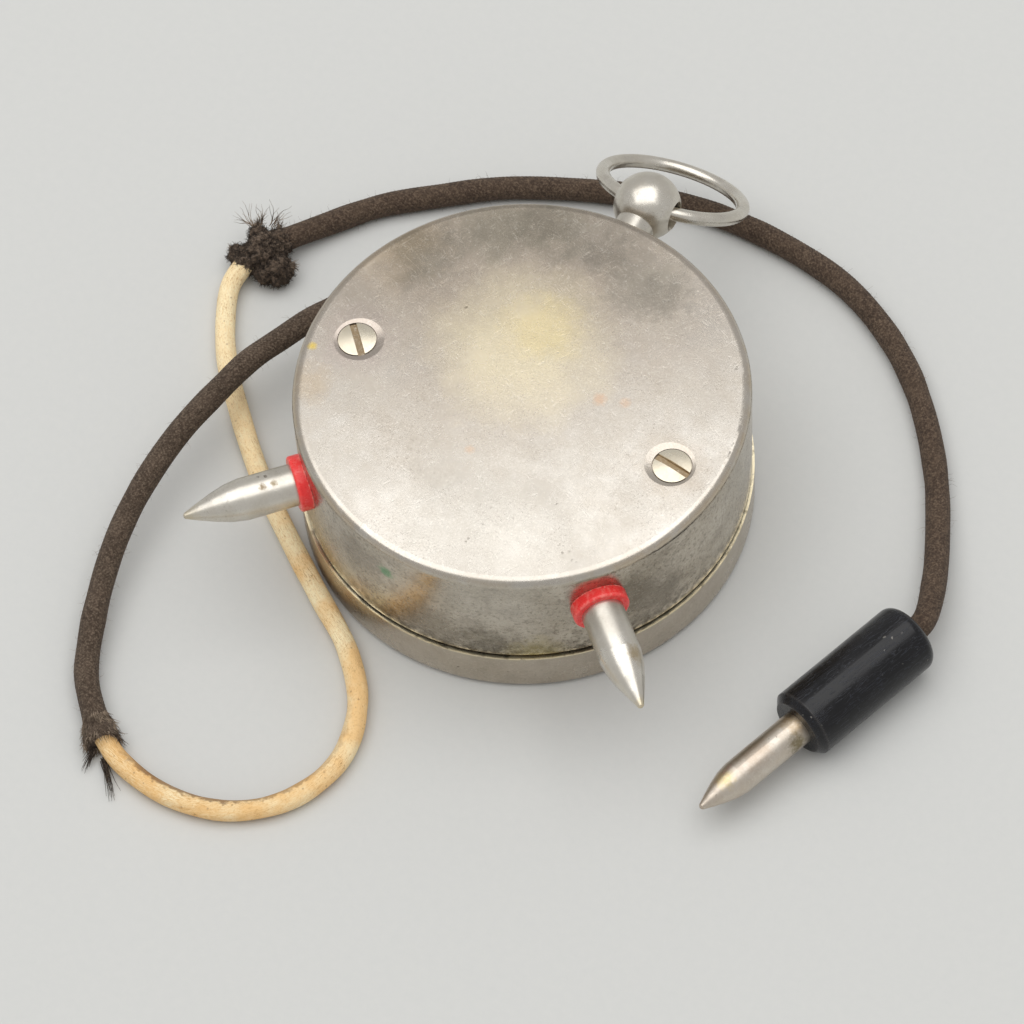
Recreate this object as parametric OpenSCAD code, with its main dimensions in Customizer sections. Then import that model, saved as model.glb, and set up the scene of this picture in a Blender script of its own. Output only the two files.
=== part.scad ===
// Pocket voltmeter: a nickelled drum of two-inch size with two fixed contact prods,
// a test lead with a hand prod, and a watch pendant with its bow.
// It lies face down: the bezel rests at z = 0, the back is up, the pendant points to +Y.

/* [Case] */
// Outer diameter of the drum
case_d = 51; // [49:0.5:58]
// Overall height from the bezel's front face to the back
case_h = 21.8; // [21:0.2:26]
// Wall of the pressed case and bezel
wall = 0.6; // [0.4:0.1:0.8]
// Radius of the rounded back edge
back_round = 1.1; // [0.8:0.1:2]
// Width of the dirty seam between drum and bezel
seam_gap = 0.4; // [0.2:0.1:0.8]
// Diameter of the holes in the back for the case screws
back_hole_d = 2.3; // [2.2:0.1:2.6]
// Height of the gentle crown of the back
back_crown = 0.3; // [0.1:0.1:0.6]
// How deep the case screws' heads sit in the back
seat_depth = 0.8; // [0.6:0.1:1]
// Depth of the shallow dish round the case screws
dish_depth = 0.14; // [0.08:0.02:0.2]
// Width of the shallow dish round the case screws
dish_w = 0.6; // [0.4:0.1:0.8]

/* [Bezel and glass] */
// Height of the snap-on bezel
bezel_h = 6.2; // [5.6:0.2:7]
// How far the bezel stands proud of the drum
bezel_proud = 0.3; // [0.2:0.1:0.6]
// Thickness of the bezel's front lip
lip_t = 0.8; // [0.6:0.1:1.2]
// Diameter of the window in the bezel
window_d = 44; // [40:0.5:46]
// Rounding of the bezel's front edge
bezel_round = 1; // [0.8:0.1:1.6]
// Thickness of the glass
glass_t = 1.4; // [1:0.1:1.6]
// Height of the spacer ring between glass and dial
spacer_h = 3.6; // [3.4:0.1:4.2]

/* [Dial] */
// Thickness of the dial plate
dial_t = 0.6; // [0.4:0.1:1]
// Diameter of the opening in the middle of the dial
dial_hole_d = 4.6; // [4:0.2:5.6]
// Half of the distance between the dial screws
dial_screw_x = 13; // [12:0.5:15]
// Distance of the dial screws below the middle
dial_screw_y = 12.5; // [11:0.5:13.5]
// Diameter of the dial screws' heads
dial_screw_head_d = 2.6; // [2.2:0.1:3.2]

/* [Pointer and rotor] */
// Distance of the pointer's axis below the middle of the dial
staff_drop = 3; // [2.6:0.2:4]
// Diameter of the staff
staff_d = 1.1; // [1:0.1:1.4]
// Diameter of the pivots at the staff's ends
pivot_d = 0.5; // [0.4:0.05:0.6]
// Length of the pointer from its axis to the tip
pointer_len = 18; // [14:0.5:19]
// Thickness of the pointer
pointer_t = 0.3; // [0.2:0.05:0.5]
// Resting direction of the pointer from +X
pointer_rest = 45; // [40:1:50]
// Length of the iron armature on the staff
armature_len = 4.4; // [3.6:0.2:4.6]
// Width of the iron armature
armature_w = 1.8; // [1.6:0.1:2.2]
// Gap between the armature's corners and the pole faces
air_gap = 0.3; // [0.2:0.05:0.5]

/* [Movement] */
// Thickness of the movement plate
plate_t = 1.2; // [1:0.1:1.5]
// Diameter of the movement plate
plate_d = 44; // [42:0.5:46]
// Gap between the dial and the movement plate
plate_gap = 1.6; // [1.4:0.1:2]
// Thickness of the rear bridge
bridge_t = 1; // [0.8:0.1:1.2]
// Distance of each rear bridge pillar from the staff
bridge_pillar_y = 8; // [7.6:0.2:9]
// Diameter of the turned pillars and posts of the movement
post_d = 2.4; // [2.2:0.1:2.8]
// Outer radius of the bow magnet
magnet_r = 16.6; // [16.2:0.2:17]
// Width of the magnet's steel
magnet_w = 3; // [2.6:0.2:3.2]
// Thickness of the magnet's steel
magnet_t = 4; // [3:0.2:5]
// Free height between the rear bridge's screws and the back
back_clear = 1.2; // [0.6:0.1:1.6]
// Length of each coil bobbin
coil_len = 9; // [8:0.2:9.4]
// Diameter of the coil's iron core
core_d = 3; // [2.6:0.1:3.4]
// Number of turns of the hairspring
spring_turns = 5; // [3:1:5]
// Distance from one turn of the hairspring to the next
spring_pitch = 0.5; // [0.4:0.05:0.55]

/* [Series resistor] */
// Height of the resistor spool
spool_h = 8; // [6:0.5:9]
// Diameter of the spool's flanges
spool_d = 7; // [6:0.2:7.4]

/* [Case screws and pillars] */
// Radius of the circle on which the case screws lie
screw_r = 19.6; // [19.4:0.1:20]
// Angle of each case screw from the pendant
screw_angle = 96; // [94:1:99]
// Diameter of the case screws' heads
screw_head_d = 4.3; // [4:0.1:4.6]
// Height of the heads
screw_head_h = 0.68; // [0.6:0.02:0.8]
// Diameter of the case screws' shanks
screw_d = 2; // [1.8:0.1:2.1]
// Width of the screw slots
slot_w = 0.8; // [0.5:0.1:1]
// Length of the shanks below the heads
screw_len = 6; // [4:0.5:8]
// Diameter of the pillars that take the case screws
pillar_d = 4; // [3.8:0.1:4.2]
// Direction of the first screw's slot
slot_a = -49; // [-90:1:90]
// Direction of the second screw's slot
slot_b = -10; // [-90:1:90]

/* [Contact prods] */
// Angle of each prod from the pendant
prod_angle = 134.5; // [131:0.5:139]
// Height of the prods above the table
prod_z = 15.3; // [14.8:0.1:16]
// Diameter of the prods
prod_d = 4.8; // [4:0.1:5.4]
// Length of the straight part of a prod
prod_straight = 5.9; // [4:0.1:8]
// Length of the pointed part of a prod
prod_point = 6.8; // [5:0.1:9]
// Diameter of the blunt tip
prod_tip_d = 0.7; // [0.5:0.1:1]
// Diameter of the red fibre collars
collar_d = 6.4; // [5.8:0.1:7]
// Thickness of the red fibre collars
collar_t = 1.3; // [1:0.1:1.8]
// Rounding of the collars' edges
collar_round = 0.3; // [0.2:0.05:0.4]
// Diameter of the threaded tails of prods and pendant
tail_d = 2.2; // [2:0.1:2.6]

/* [Pendant and bow] */
// Height of the pendant and of the bow's hinge above the table
pendant_z = 16.2; // [15.6:0.1:16.6]
// Diameter of the pendant's ball
ball_d = 7.8; // [7.6:0.1:8.4]
// Distance from the drum's wall to the middle of the ball
ball_out = 6; // [5.8:0.1:6.8]
// Diameter of the pendant's neck
neck_d = 4.6; // [4:0.1:5]
// Diameter of the pendant's foot on the drum
foot_d = 6.6; // [6:0.1:7]
// Thickness of the pendant's foot
foot_t = 0.7; // [0.5:0.1:1]
// Diameter of the bow's wire
wire_d = 1.6; // [1.4:0.1:1.8]
// Radius of the bow at the middle of its wire
bow_r = 8.4; // [8.2:0.1:9.4]
// Lean of the bow below the horizontal
bow_lean = 38.5; // [36:0.5:43]

/* [Test lead] */
// Diameter of the braided lead
braid_d = 2.8; // [2.4:0.1:3]
// Diameter of the bare inner cord
core_cord_d = 2.4; // [1.8:0.1:2.4]
// Height at which the lead leaves the drum
lead_z = 9.9; // [9.8:0.1:10.2]
// Angle of the lead's bush from the pendant
lead_angle = 24.5; // [24:0.5:25]
// Diameter of the hand prod's handle
handle_d = 8.2; // [7.6:0.1:9]
// Length of the handle
handle_len = 17.5; // [15:0.5:22]
// Diameter of the hand prod's pin
pin_d = 4; // [3.4:0.1:4.6]
// Length of the straight part of the pin
pin_straight = 9.2; // [7:0.1:11]
// Length of the pointed part of the pin
pin_point = 5.4; // [4:0.1:7]
// Rounding of the handle's back edge
handle_round = 1.2; // [0.8:0.1:1.6]
// Bevel of the handle's front edge
handle_bevel = 0.8; // [0.5:0.1:1]

/* [Hidden] */
$fn = 64;

// Clearance of pieces that slip together, and of a pivot in its hole
fit = 0.1;
pivot_fit = 0.05;
eps = 0.01;
crown_steps = 12;

// Levels, from the table up
case_r = case_d / 2;
bezel_r = case_r + bezel_proud;
skirt_r = bezel_r - wall;
neck_r = skirt_r - fit;
neck_in = neck_r - wall;
drum_in = case_r - wall;
rim_z = lip_t + glass_t;
dial_z = rim_z + spacer_h;
post_z = dial_z + dial_t;
plate_z = post_z + plate_gap;
plate_top = plate_z + plate_t;
shoulder_z = bezel_h + seam_gap;
back_in = case_h - wall;
seat_z = case_h - seat_depth;
pillar_top = seat_z - wall;
dish_z = case_h - back_crown * pow(screw_r / (case_r - back_round), 2);

// Small screws of the movement, and the two screws that carry the staff's pivots
small_d = post_d / 2;
small_head_r = post_d / 2;
small_head_h = post_d / 4;
small_slot = post_d * 0.14;
pivot_screw_r = 1;
pivot_head_r = 1.3;
pivot_slot = 0.3;
dial_screw_head_h = dial_screw_head_d * 0.23;
dial_slot_turn = 20;
rear_slot_turn = 60;

// Rotor: the pointer turns between the glass and the dial
front_bridge_t = 0.6;
front_bridge_z = rim_z + 0.9;
staff_y = -staff_drop;
front_pivot_z = front_bridge_z + front_bridge_t + 0.1;
pivot_len = 0.6;
pointer_z = front_pivot_z + pivot_len + 0.4;
coil_under = 0.2;
coil_over = 0.3;
coil_d = back_in - back_crown - back_clear - small_head_h - bridge_t - coil_over - coil_under - plate_top;
coil_z = plate_top + coil_d / 2 + coil_under;
rear_bridge_z = coil_z + coil_d / 2 + coil_over;
rear_pivot_z = rear_bridge_z - 0.1;
pole_r = norm([armature_len, armature_w]) / 2 + air_gap;
coil_x = pole_r + 0.9;
spring_z = post_z + 0.5;
spring_h = 0.4;
spring_w = 0.12;
collet_r = staff_d / 2 + 0.6;
spring_r0 = collet_r + spring_w / 2 + 0.02;
spring_r1 = spring_r0 + spring_turns * spring_pitch;
bridge_post_x = 5.4;
magnet_mid = magnet_r - magnet_w / 2;
magnet_in = magnet_r - magnet_w;
magnet_screw_at = [45, 135];
spool_y = staff_y - bridge_pillar_y - post_d / 2 - spool_d / 2 - 0.4;

// Fittings through the drum's wall
collar_face = case_r + collar_t;
hex = 0.866;
washer_t = tail_d * 0.55;
tag_t = tail_d * 0.18;
tag_w = tail_d * 0.8;
tag_len = tail_d * 2;
tag_hole = tail_d * 1.6;
nut_t = tail_d * 0.72;
nut_across = tail_d * 1.95;
tag_in = drum_in - washer_t - tag_t;
ball_y = case_r + ball_out;
bush_flange = 0.7;
bush_flange_d = braid_d + 2.4;
wire_r = 0.4;

// Half section of a drum with a rounded edge and a crowned end, drawn in the r-z plane
module crowned_section(r, z0, z1, round_r) {
    flat_r = r - round_r;
    edge_z = z1 - back_crown - round_r;
    translate([0, z0]) square([r, edge_z - z0]);
    translate([flat_r, edge_z]) circle(round_r);
    polygon(concat([[0, z0], [flat_r, z0]],
        [for (i = [crown_steps : -1 : 0]) [flat_r * i / crown_steps, z1 - back_crown * pow(i / crown_steps, 2)]]));
}

// Ring between two radii
module ring(r_out, r_in, z0, h) {
    translate([0, 0, z0]) difference() {
        cylinder(r = r_out, h = h);
        translate([0, 0, -eps]) cylinder(r = r_in, h = h + 2 * eps);
    }
}

// Places a fitting on the drum's wall: its own Z points outward at the given angle from +Y
module on_wall(angle, z) {
    translate([0, 0, z]) rotate([0, 0, angle]) rotate([-90, 0, 0]) children();
}

// A cylinder of the drum's own axis, seen from a fitting placed by on_wall
module drum_axis(r) {
    rotate([90, 0, 0]) cylinder(r = r, h = 40, center = true, $fn = 128);
}

module at_staff(z) {
    translate([0, staff_y, z]) children();
}

module at_screw(i) {
    a = 90 + (i == 0 ? screw_angle : -screw_angle);
    translate([screw_r * cos(a), screw_r * sin(a), 0]) children();
}

module at_dial_screw() {
    for (s = [-1, 1]) translate([s * dial_screw_x, -dial_screw_y, 0]) children();
}

// Slotted screw, head up: the underside of the head is at z = 0
module slotted_screw(head_r, head_h, shank_r, shank_len, slot, turn) {
    dome_h = head_h * 0.25;
    dome = (head_r * head_r + dome_h * dome_h) / (2 * dome_h);
    difference() {
        union() {
            intersection() {
                cylinder(r = head_r, h = head_h);
                translate([0, 0, head_h - dome]) sphere(r = dome, $fn = 96);
            }
            translate([0, 0, -shank_len]) cylinder(r = shank_r, h = shank_len + head_h / 2);
        }
        rotate([0, 0, turn]) translate([-head_r - 1, -slot / 2, head_h * 0.4])
            cube([2 * head_r + 2, slot, head_h]);
    }
}

// Hexagon nut on a tail of radius r, from z0 inwards
module hex_nut(across, r, h) {
    difference() {
        cylinder(d = across / hex, h = h, $fn = 6);
        translate([0, 0, -eps]) cylinder(r = r + fit / 2, h = h + 2 * eps);
    }
}

// Round bar that ends in a slightly bellied point, along Z from z = 0
module pointed_bar(r, straight, point, tip_r) {
    belly = 0.12;
    rotate_extrude() polygon([[0, 0], [r, 0], [r, straight],
        [r + (tip_r - r) * (0.25 - belly), straight + point * 0.25],
        [r + (tip_r - r) * (0.5 - belly), straight + point * 0.5],
        [r + (tip_r - r) * (0.75 - belly / 2), straight + point * 0.75],
        [tip_r, straight + point - tip_r * 0.4], [tip_r * 0.5, straight + point],
        [0, straight + point]]);
}

module case_body() color("#a9a49c") difference() {
    union() {
        rotate_extrude($fn = 160) difference() {
            union() {
                crowned_section(case_r, shoulder_z, case_h, back_round);
                translate([0, rim_z]) square([neck_r, shoulder_z - rim_z + 1]);
            }
            crowned_section(drum_in, shoulder_z + wall, back_in, back_round - wall / 2);
            translate([0, rim_z - 1]) square([neck_in, shoulder_z - rim_z + wall + 1.5]);
        }
        for (i = [0, 1]) at_screw(i)
            translate([0, 0, pillar_top]) cylinder(r = screw_head_d / 2 + wall, h = seat_depth);
    }
    for (i = [0, 1]) at_screw(i) {
        translate([0, 0, seat_z]) cylinder(r = screw_head_d / 2 + fit, h = seat_depth + 1);
        translate([0, 0, dish_z - dish_depth]) cylinder(r1 = screw_head_d / 2 + fit,
            r2 = screw_head_d / 2 + fit + 4 * dish_w, h = 4 * dish_depth);
        translate([0, 0, pillar_top - 1]) cylinder(d = back_hole_d, h = 3);
    }
    for (a = [prod_angle, -prod_angle]) on_wall(a, prod_z)
        translate([0, 0, drum_in - 1]) cylinder(d = tail_d + 2 * wall + 4 * fit, h = wall + 2);
    on_wall(0, pendant_z) translate([0, 0, drum_in - 1]) cylinder(d = tail_d + 2 * fit, h = wall + 2);
    on_wall(lead_angle, lead_z)
        translate([0, 0, drum_in - 1]) cylinder(d = braid_d + 2 * wall + 4 * fit, h = wall + 2);
}

module bezel() color("#9b968d") rotate_extrude($fn = 160) difference() {
    union() {
        translate([0, bezel_round]) square([bezel_r, bezel_h - bezel_round]);
        square([bezel_r - bezel_round, bezel_h]);
        translate([bezel_r - bezel_round, bezel_round]) circle(bezel_round);
    }
    translate([0, lip_t]) square([skirt_r, bezel_h]);
    translate([0, -1]) square([window_d / 2, lip_t + 2]);
    polygon([[window_d / 2 - 1, -1], [window_d / 2 + 1.4, -1], [window_d / 2 + 0.4, 0],
        [window_d / 2, lip_t * 0.5], [window_d / 2 - 1, lip_t * 0.5]]);
}

module glass() color([0.85, 0.9, 0.9, 0.35]) translate([0, 0, lip_t])
    cylinder(r = skirt_r - fit, h = glass_t, $fn = 128);

module spacer_ring() color("#c9c2b0") ring(neck_in - fit, neck_in - fit - 0.8, rim_z, spacer_h);

module dial_plate() color("#efece2") difference() {
    translate([0, 0, dial_z]) cylinder(r = neck_in - fit, h = dial_t, $fn = 128);
    at_staff(dial_z - 1) cylinder(d = dial_hole_d, h = 3);
    for (s = [-1, 1]) translate([s * bridge_post_x, staff_y, dial_z - 1])
        cylinder(d = post_d + 2 * fit, h = 3);
    at_dial_screw() translate([0, 0, dial_z - 1]) cylinder(d = dial_screw_head_d * 0.55, h = 3);
}

module dial_screws() color("#b59a55") at_dial_screw() translate([0, 0, dial_z]) mirror([0, 0, 1])
    slotted_screw(dial_screw_head_d / 2, dial_screw_head_h, dial_screw_head_d / 4,
        dial_t + plate_gap - 0.3, small_slot, dial_slot_turn);

module dial_posts() color("#b8954a") at_dial_screw() difference() {
    translate([0, 0, post_z]) cylinder(d = dial_screw_head_d + 0.6, h = plate_gap);
    translate([0, 0, post_z - eps]) cylinder(d = dial_screw_head_d * 0.55, h = plate_gap - 0.1);
}

module movement_plate() color("#b8954a") difference() {
    translate([0, 0, plate_z]) cylinder(d = plate_d, h = plate_t, $fn = 128);
    at_staff(plate_z - 1) cylinder(d = staff_d + 2, h = plate_t + 2);
    translate([-4.5, staff_y + bridge_pillar_y + 3.5, plate_z - 1]) cube([9, 7, plate_t + 2]);
    translate([0, spool_y, plate_z - 1]) cylinder(d = screw_d + 2 * fit, h = plate_t + 2);
    for (i = [0, 1]) at_screw(i) translate([0, 0, plate_z - 1]) cylinder(d = screw_d, h = plate_t + 2);
    for (s = [-1, 1]) translate([s * 18, 12, plate_z - 1]) cylinder(d = 3, h = plate_t + 2);
}

module case_pillars() color("#b8954a") for (i = [0, 1]) at_screw(i) difference() {
    union() {
        translate([0, 0, plate_top]) cylinder(d = pillar_d, h = pillar_top - plate_top);
        translate([0, 0, plate_z]) cylinder(d = screw_d - fit, h = plate_t + 1);
    }
    translate([0, 0, pillar_top - screw_len - 0.5]) cylinder(d = screw_d + fit, h = screw_len + 1);
}

module case_screws() color("#c4bfb6") for (i = [0, 1]) at_screw(i) translate([0, 0, seat_z])
    slotted_screw(screw_head_d / 2, screw_head_h, screw_d / 2, screw_len + wall - 0.5, slot_w,
        i == 0 ? slot_a : slot_b);

module front_bridge() color("#c2a052") difference() {
    translate([0, staff_y, front_bridge_z]) union() {
        translate([-bridge_post_x, -1.3, 0]) cube([2 * bridge_post_x, 2.6, front_bridge_t]);
        for (s = [-1, 1]) translate([s * bridge_post_x, 0, 0]) cylinder(r = 1.5, h = front_bridge_t);
    }
    at_staff(front_bridge_z - 1) cylinder(d = 2 * pivot_screw_r + fit, h = 3);
    for (s = [-1, 1]) translate([s * bridge_post_x, staff_y, front_bridge_z - 1])
        cylinder(d = small_d + fit, h = 3);
}

module bridge_posts() color("#b8954a") for (s = [-1, 1])
    translate([s * bridge_post_x, staff_y, 0]) difference() {
        translate([0, 0, front_bridge_z + front_bridge_t])
            cylinder(d = post_d, h = plate_z - front_bridge_z - front_bridge_t);
        translate([0, 0, front_bridge_z]) cylinder(d = small_d + fit, h = 3);
    }

module bridge_screws() color("#5f6a7c") for (s = [-1, 1])
    translate([s * bridge_post_x, staff_y, front_bridge_z]) mirror([0, 0, 1])
        slotted_screw(small_head_r - 0.1, small_head_h - 0.1, small_d / 2, 2.5, small_slot, 35 * s);

module front_pivot_screw() color("#5f6a7c") at_staff(0) difference() {
    union() {
        translate([0, 0, front_bridge_z]) cylinder(r = pivot_screw_r, h = front_bridge_t + pivot_len + 0.2);
        translate([0, 0, front_bridge_z - 0.4]) cylinder(r = pivot_head_r, h = 0.4);
    }
    translate([0, 0, front_pivot_z]) cylinder(d = pivot_d + 2 * pivot_fit, h = 3);
    translate([-2, -pivot_slot / 2, front_bridge_z - 0.5]) cube([4, pivot_slot, 0.3]);
}

module staff() color("#8f9499") at_staff(0) {
    translate([0, 0, front_pivot_z + 0.05]) cylinder(d = pivot_d, h = pivot_len + 0.3);
    translate([0, 0, front_pivot_z + pivot_len + 0.2])
        cylinder(d = staff_d, h = rear_pivot_z - front_pivot_z - 2 * pivot_len - 0.4);
    translate([0, 0, rear_pivot_z - pivot_len - 0.3]) cylinder(d = pivot_d, h = pivot_len + 0.25);
}

module pointer() color("#1d1d1f") at_staff(pointer_z) rotate([0, 0, pointer_rest]) difference() {
    union() {
        cylinder(d = staff_d + 1.6, h = pointer_t + 0.3);
        linear_extrude(pointer_t) polygon([[0, -0.45], [pointer_len * 0.7, -0.25],
            [pointer_len * 0.7, -0.6], [pointer_len * 0.78, -0.6], [pointer_len, 0],
            [pointer_len * 0.78, 0.6], [pointer_len * 0.7, 0.6], [pointer_len * 0.7, 0.25], [0, 0.45]]);
        linear_extrude(pointer_t) polygon([[0, 0.5], [-3.2, 0.4], [-3.6, 1.1], [-5.4, 0.9],
            [-5.4, -0.9], [-3.6, -1.1], [-3.2, -0.4], [0, -0.5]]);
    }
    translate([0, 0, -1]) cylinder(d = staff_d + fit / 2, h = 3);
}

module armature() color("#6b6f75") at_staff(coil_z) rotate([0, 0, pointer_rest]) difference() {
    cube([armature_len, armature_w, coil_d * 0.45], center = true);
    cylinder(d = staff_d + fit / 2, h = coil_d, center = true);
}

function spiral(r, side) = [for (i = [0 : spring_turns * 24])
    let (a = i * 15, d = r + spring_pitch * i / 24 + side * spring_w / 2) [d * cos(a), d * sin(a)]];

module hairspring() color("#3d4f77") at_staff(spring_z) rotate([0, 0, -90]) linear_extrude(spring_h)
    polygon(concat(spiral(spring_r0, 1), [for (p = [spring_turns * 24 : -1 : 0])
        spiral(spring_r0, -1)[p]]));

module hairspring_collet() color("#c2a052") at_staff(spring_z - 0.2) difference() {
    cylinder(r = collet_r, h = spring_h + 0.4);
    translate([0, 0, -1]) cylinder(d = staff_d + fit / 2, h = spring_h + 3);
}

module hairspring_stud() color("#b8954a") at_staff(spring_z - 0.2)
    rotate([0, 0, -90]) translate([spring_r1 + spring_w / 2 + 0.02, -0.5, 0]) cube([1, 1, plate_z - spring_z + 0.2]);

module rear_bridge() color("#c2a052") difference() {
    translate([-1.8, staff_y - bridge_pillar_y - 2, rear_bridge_z])
        cube([3.6, 2 * bridge_pillar_y + 4, bridge_t]);
    at_staff(rear_bridge_z - 1) cylinder(d = 2 * pivot_screw_r + fit, h = 4);
    for (s = [-1, 1]) translate([0, staff_y + s * bridge_pillar_y, rear_bridge_z - 1])
        cylinder(d = small_d + fit, h = 4);
}

module rear_pillars() color("#b8954a") for (s = [-1, 1])
    translate([0, staff_y + s * bridge_pillar_y, 0]) difference() {
        translate([0, 0, plate_top]) cylinder(d = post_d, h = rear_bridge_z - plate_top);
        translate([0, 0, rear_bridge_z - 3]) cylinder(d = small_d + fit, h = 4);
    }

module rear_screws() color("#5f6a7c") for (s = [-1, 1])
    translate([0, staff_y + s * bridge_pillar_y, rear_bridge_z + bridge_t])
        slotted_screw(small_head_r, small_head_h, small_d / 2, bridge_t + 1.8, small_slot,
            rear_slot_turn * s);

module rear_pivot_screw() color("#5f6a7c") at_staff(0) difference() {
    union() {
        translate([0, 0, rear_pivot_z - pivot_len - 0.1])
            cylinder(r = pivot_screw_r, h = bridge_t + pivot_len + 0.3);
        translate([0, 0, rear_bridge_z + bridge_t]) cylinder(r = pivot_head_r, h = 0.5);
    }
    translate([0, 0, rear_pivot_z - 3]) cylinder(d = pivot_d + 2 * pivot_fit, h = 3);
    translate([-2, -pivot_slot / 2, rear_bridge_z + bridge_t + 0.25]) cube([4, pivot_slot, 0.3]);
}

module magnet() color("#8c3a2e") at_staff(coil_z - magnet_t / 2) difference() {
    cylinder(r = magnet_r, h = magnet_t, $fn = 128);
    translate([0, 0, -1]) cylinder(r = magnet_in, h = magnet_t + 2, $fn = 128);
    translate([-30, -34, -1]) cube([60, 31, magnet_t + 2]);
    for (a = magnet_screw_at) rotate([0, 0, a]) translate([magnet_mid, 0, -1])
        cylinder(d = small_d + 2 * fit, h = magnet_t + 2);
}

module magnet_spacers() color("#b8954a") at_staff(plate_top) for (a = magnet_screw_at)
    rotate([0, 0, a]) translate([magnet_mid, 0, 0]) difference() {
        cylinder(d = post_d, h = coil_z - magnet_t / 2 - plate_top);
        translate([0, 0, 0.4]) cylinder(d = small_d + 2 * fit, h = coil_z);
    }

module magnet_screws() color("#5f6a7c") at_staff(coil_z + magnet_t / 2) for (a = magnet_screw_at)
    rotate([0, 0, a]) translate([magnet_mid, 0, 0])
        slotted_screw(small_head_r, small_head_h, small_d / 2, magnet_t + 1.2, small_slot, a);

// Both coils lie along X, one on each side of the staff
module at_coil(s) {
    at_staff(coil_z) mirror([s > 0 ? 0 : 1, 0, 0]) rotate([0, 90, 0]) children();
}

module coil_bobbins() color("#2b2320") for (s = [-1, 1]) at_coil(s) difference() {
    union() {
        translate([0, 0, coil_x]) cylinder(d = coil_d, h = 0.7);
        translate([0, 0, coil_x + coil_len - 0.7]) cylinder(d = coil_d, h = 0.7);
        translate([0, 0, coil_x]) cylinder(d = core_d + 1.2, h = coil_len);
    }
    translate([0, 0, coil_x - 1]) cylinder(d = core_d + fit, h = coil_len + 2);
}

module coil_windings() color("#8a4b20") for (s = [-1, 1]) at_coil(s) difference() {
    translate([0, 0, coil_x + 0.75]) cylinder(d = coil_d - 1, h = coil_len - 1.5);
    translate([0, 0, coil_x]) cylinder(d = core_d + 1.3, h = coil_len);
}

module pole_cores() color("#7d7f83") for (s = [-1, 1]) at_coil(s) intersection() {
    translate([0, 0, pole_r]) cylinder(d = core_d, h = magnet_in - pole_r);
    rotate([0, -90, 0]) cylinder(r = magnet_in - 0.02, h = 2 * coil_d, center = true, $fn = 128);
}

module resistor_spool() color("#2b2320") translate([0, spool_y, plate_top]) difference() {
    union() {
        cylinder(d = spool_d, h = 0.8);
        translate([0, 0, spool_h - 0.8]) cylinder(d = spool_d, h = 0.8);
        cylinder(d = screw_d + 2, h = spool_h);
    }
    translate([0, 0, -1]) cylinder(d = screw_d + 2 * fit, h = spool_h + 2);
}

module resistor_winding() color("#7a5a34") translate([0, spool_y, plate_top + 0.85]) difference() {
    cylinder(d = spool_d - 1.2, h = spool_h - 1.7);
    translate([0, 0, -1]) cylinder(d = screw_d + 2 + fit, h = spool_h + 2);
}

module resistor_screw() color("#5f6a7c") translate([0, spool_y, plate_top + spool_h])
    slotted_screw(1.9, 0.9, screw_d / 2, spool_h + plate_t, 0.5, 30);

module prod() {
    translate([0, 0, collar_face]) pointed_bar(prod_d / 2, prod_straight, prod_point, prod_tip_d / 2);
    translate([0, 0, tag_in - nut_t - 1])
        cylinder(d = tail_d, h = washer_t + tag_t + nut_t + wall + collar_t + 1.5);
}

module prod_left() color("#b9b3a8") on_wall(prod_angle, prod_z) prod();

module prod_right() color("#b9b3a8") on_wall(-prod_angle, prod_z) prod();

// Disc with a rounded upper edge
module round_disc(r, h, round_r) rotate_extrude() {
    square([r, h - round_r]);
    square([r - round_r, h]);
    translate([r - round_r, h - round_r]) circle(round_r);
}

// Red fibre collar: a flange curved to the drum outside and a sleeve through the wall
module prod_collars() color("#e02020") for (a = [prod_angle, -prod_angle]) on_wall(a, prod_z)
    difference() {
        union() {
            difference() {
                translate([0, 0, drum_in]) round_disc(collar_d / 2, collar_face - drum_in, collar_round);
                drum_axis(case_r + 0.01);
            }
            translate([0, 0, drum_in + 0.05]) cylinder(d = tail_d + 2 * wall + 2 * fit, h = wall + 0.5);
        }
        translate([0, 0, drum_in - 2]) cylinder(d = tail_d + fit, h = wall + collar_t + 4);
    }

module prod_washers() color("#a8231c") for (a = [prod_angle, -prod_angle]) on_wall(a, prod_z)
    difference() {
        intersection() {
            translate([0, 0, drum_in - washer_t]) cylinder(d = collar_d, h = washer_t);
            drum_axis(drum_in - 0.01);
        }
        translate([0, 0, drum_in - washer_t - 1]) cylinder(d = tail_d + fit, h = washer_t + 2);
    }

module prod_tags() color("#c2a052") for (a = [prod_angle, -prod_angle]) on_wall(a, prod_z)
    translate([0, 0, tag_in]) difference() {
        union() {
            cylinder(d = 2 * tail_d, h = tag_t);
            translate([-tag_w / 2, -tag_len, 0]) cube([tag_w, tag_len, tag_t]);
        }
        translate([0, 0, -1]) cylinder(d = tail_d + fit, h = 3);
        translate([0, -tag_hole, -1]) cylinder(d = tag_w / 2, h = 3);
    }

module prod_nuts() color("#c2a052") for (a = [prod_angle, -prod_angle]) on_wall(a, prod_z)
    translate([0, 0, tag_in - nut_t]) hex_nut(nut_across, tail_d / 2, nut_t);

module lead_bush() color("#1b1a1a") on_wall(lead_angle, lead_z) difference() {
    union() {
        difference() {
            translate([0, 0, drum_in]) round_disc(bush_flange_d / 2, wall + bush_flange, collar_round);
            drum_axis(case_r + 0.01);
        }
        translate([0, 0, drum_in - 2]) cylinder(d = braid_d + 2 * wall + 2 * fit, h = wall + 2.3);
    }
    translate([0, 0, drum_in - 3]) cylinder(d = braid_d + 2 * fit, h = 8);
}

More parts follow.
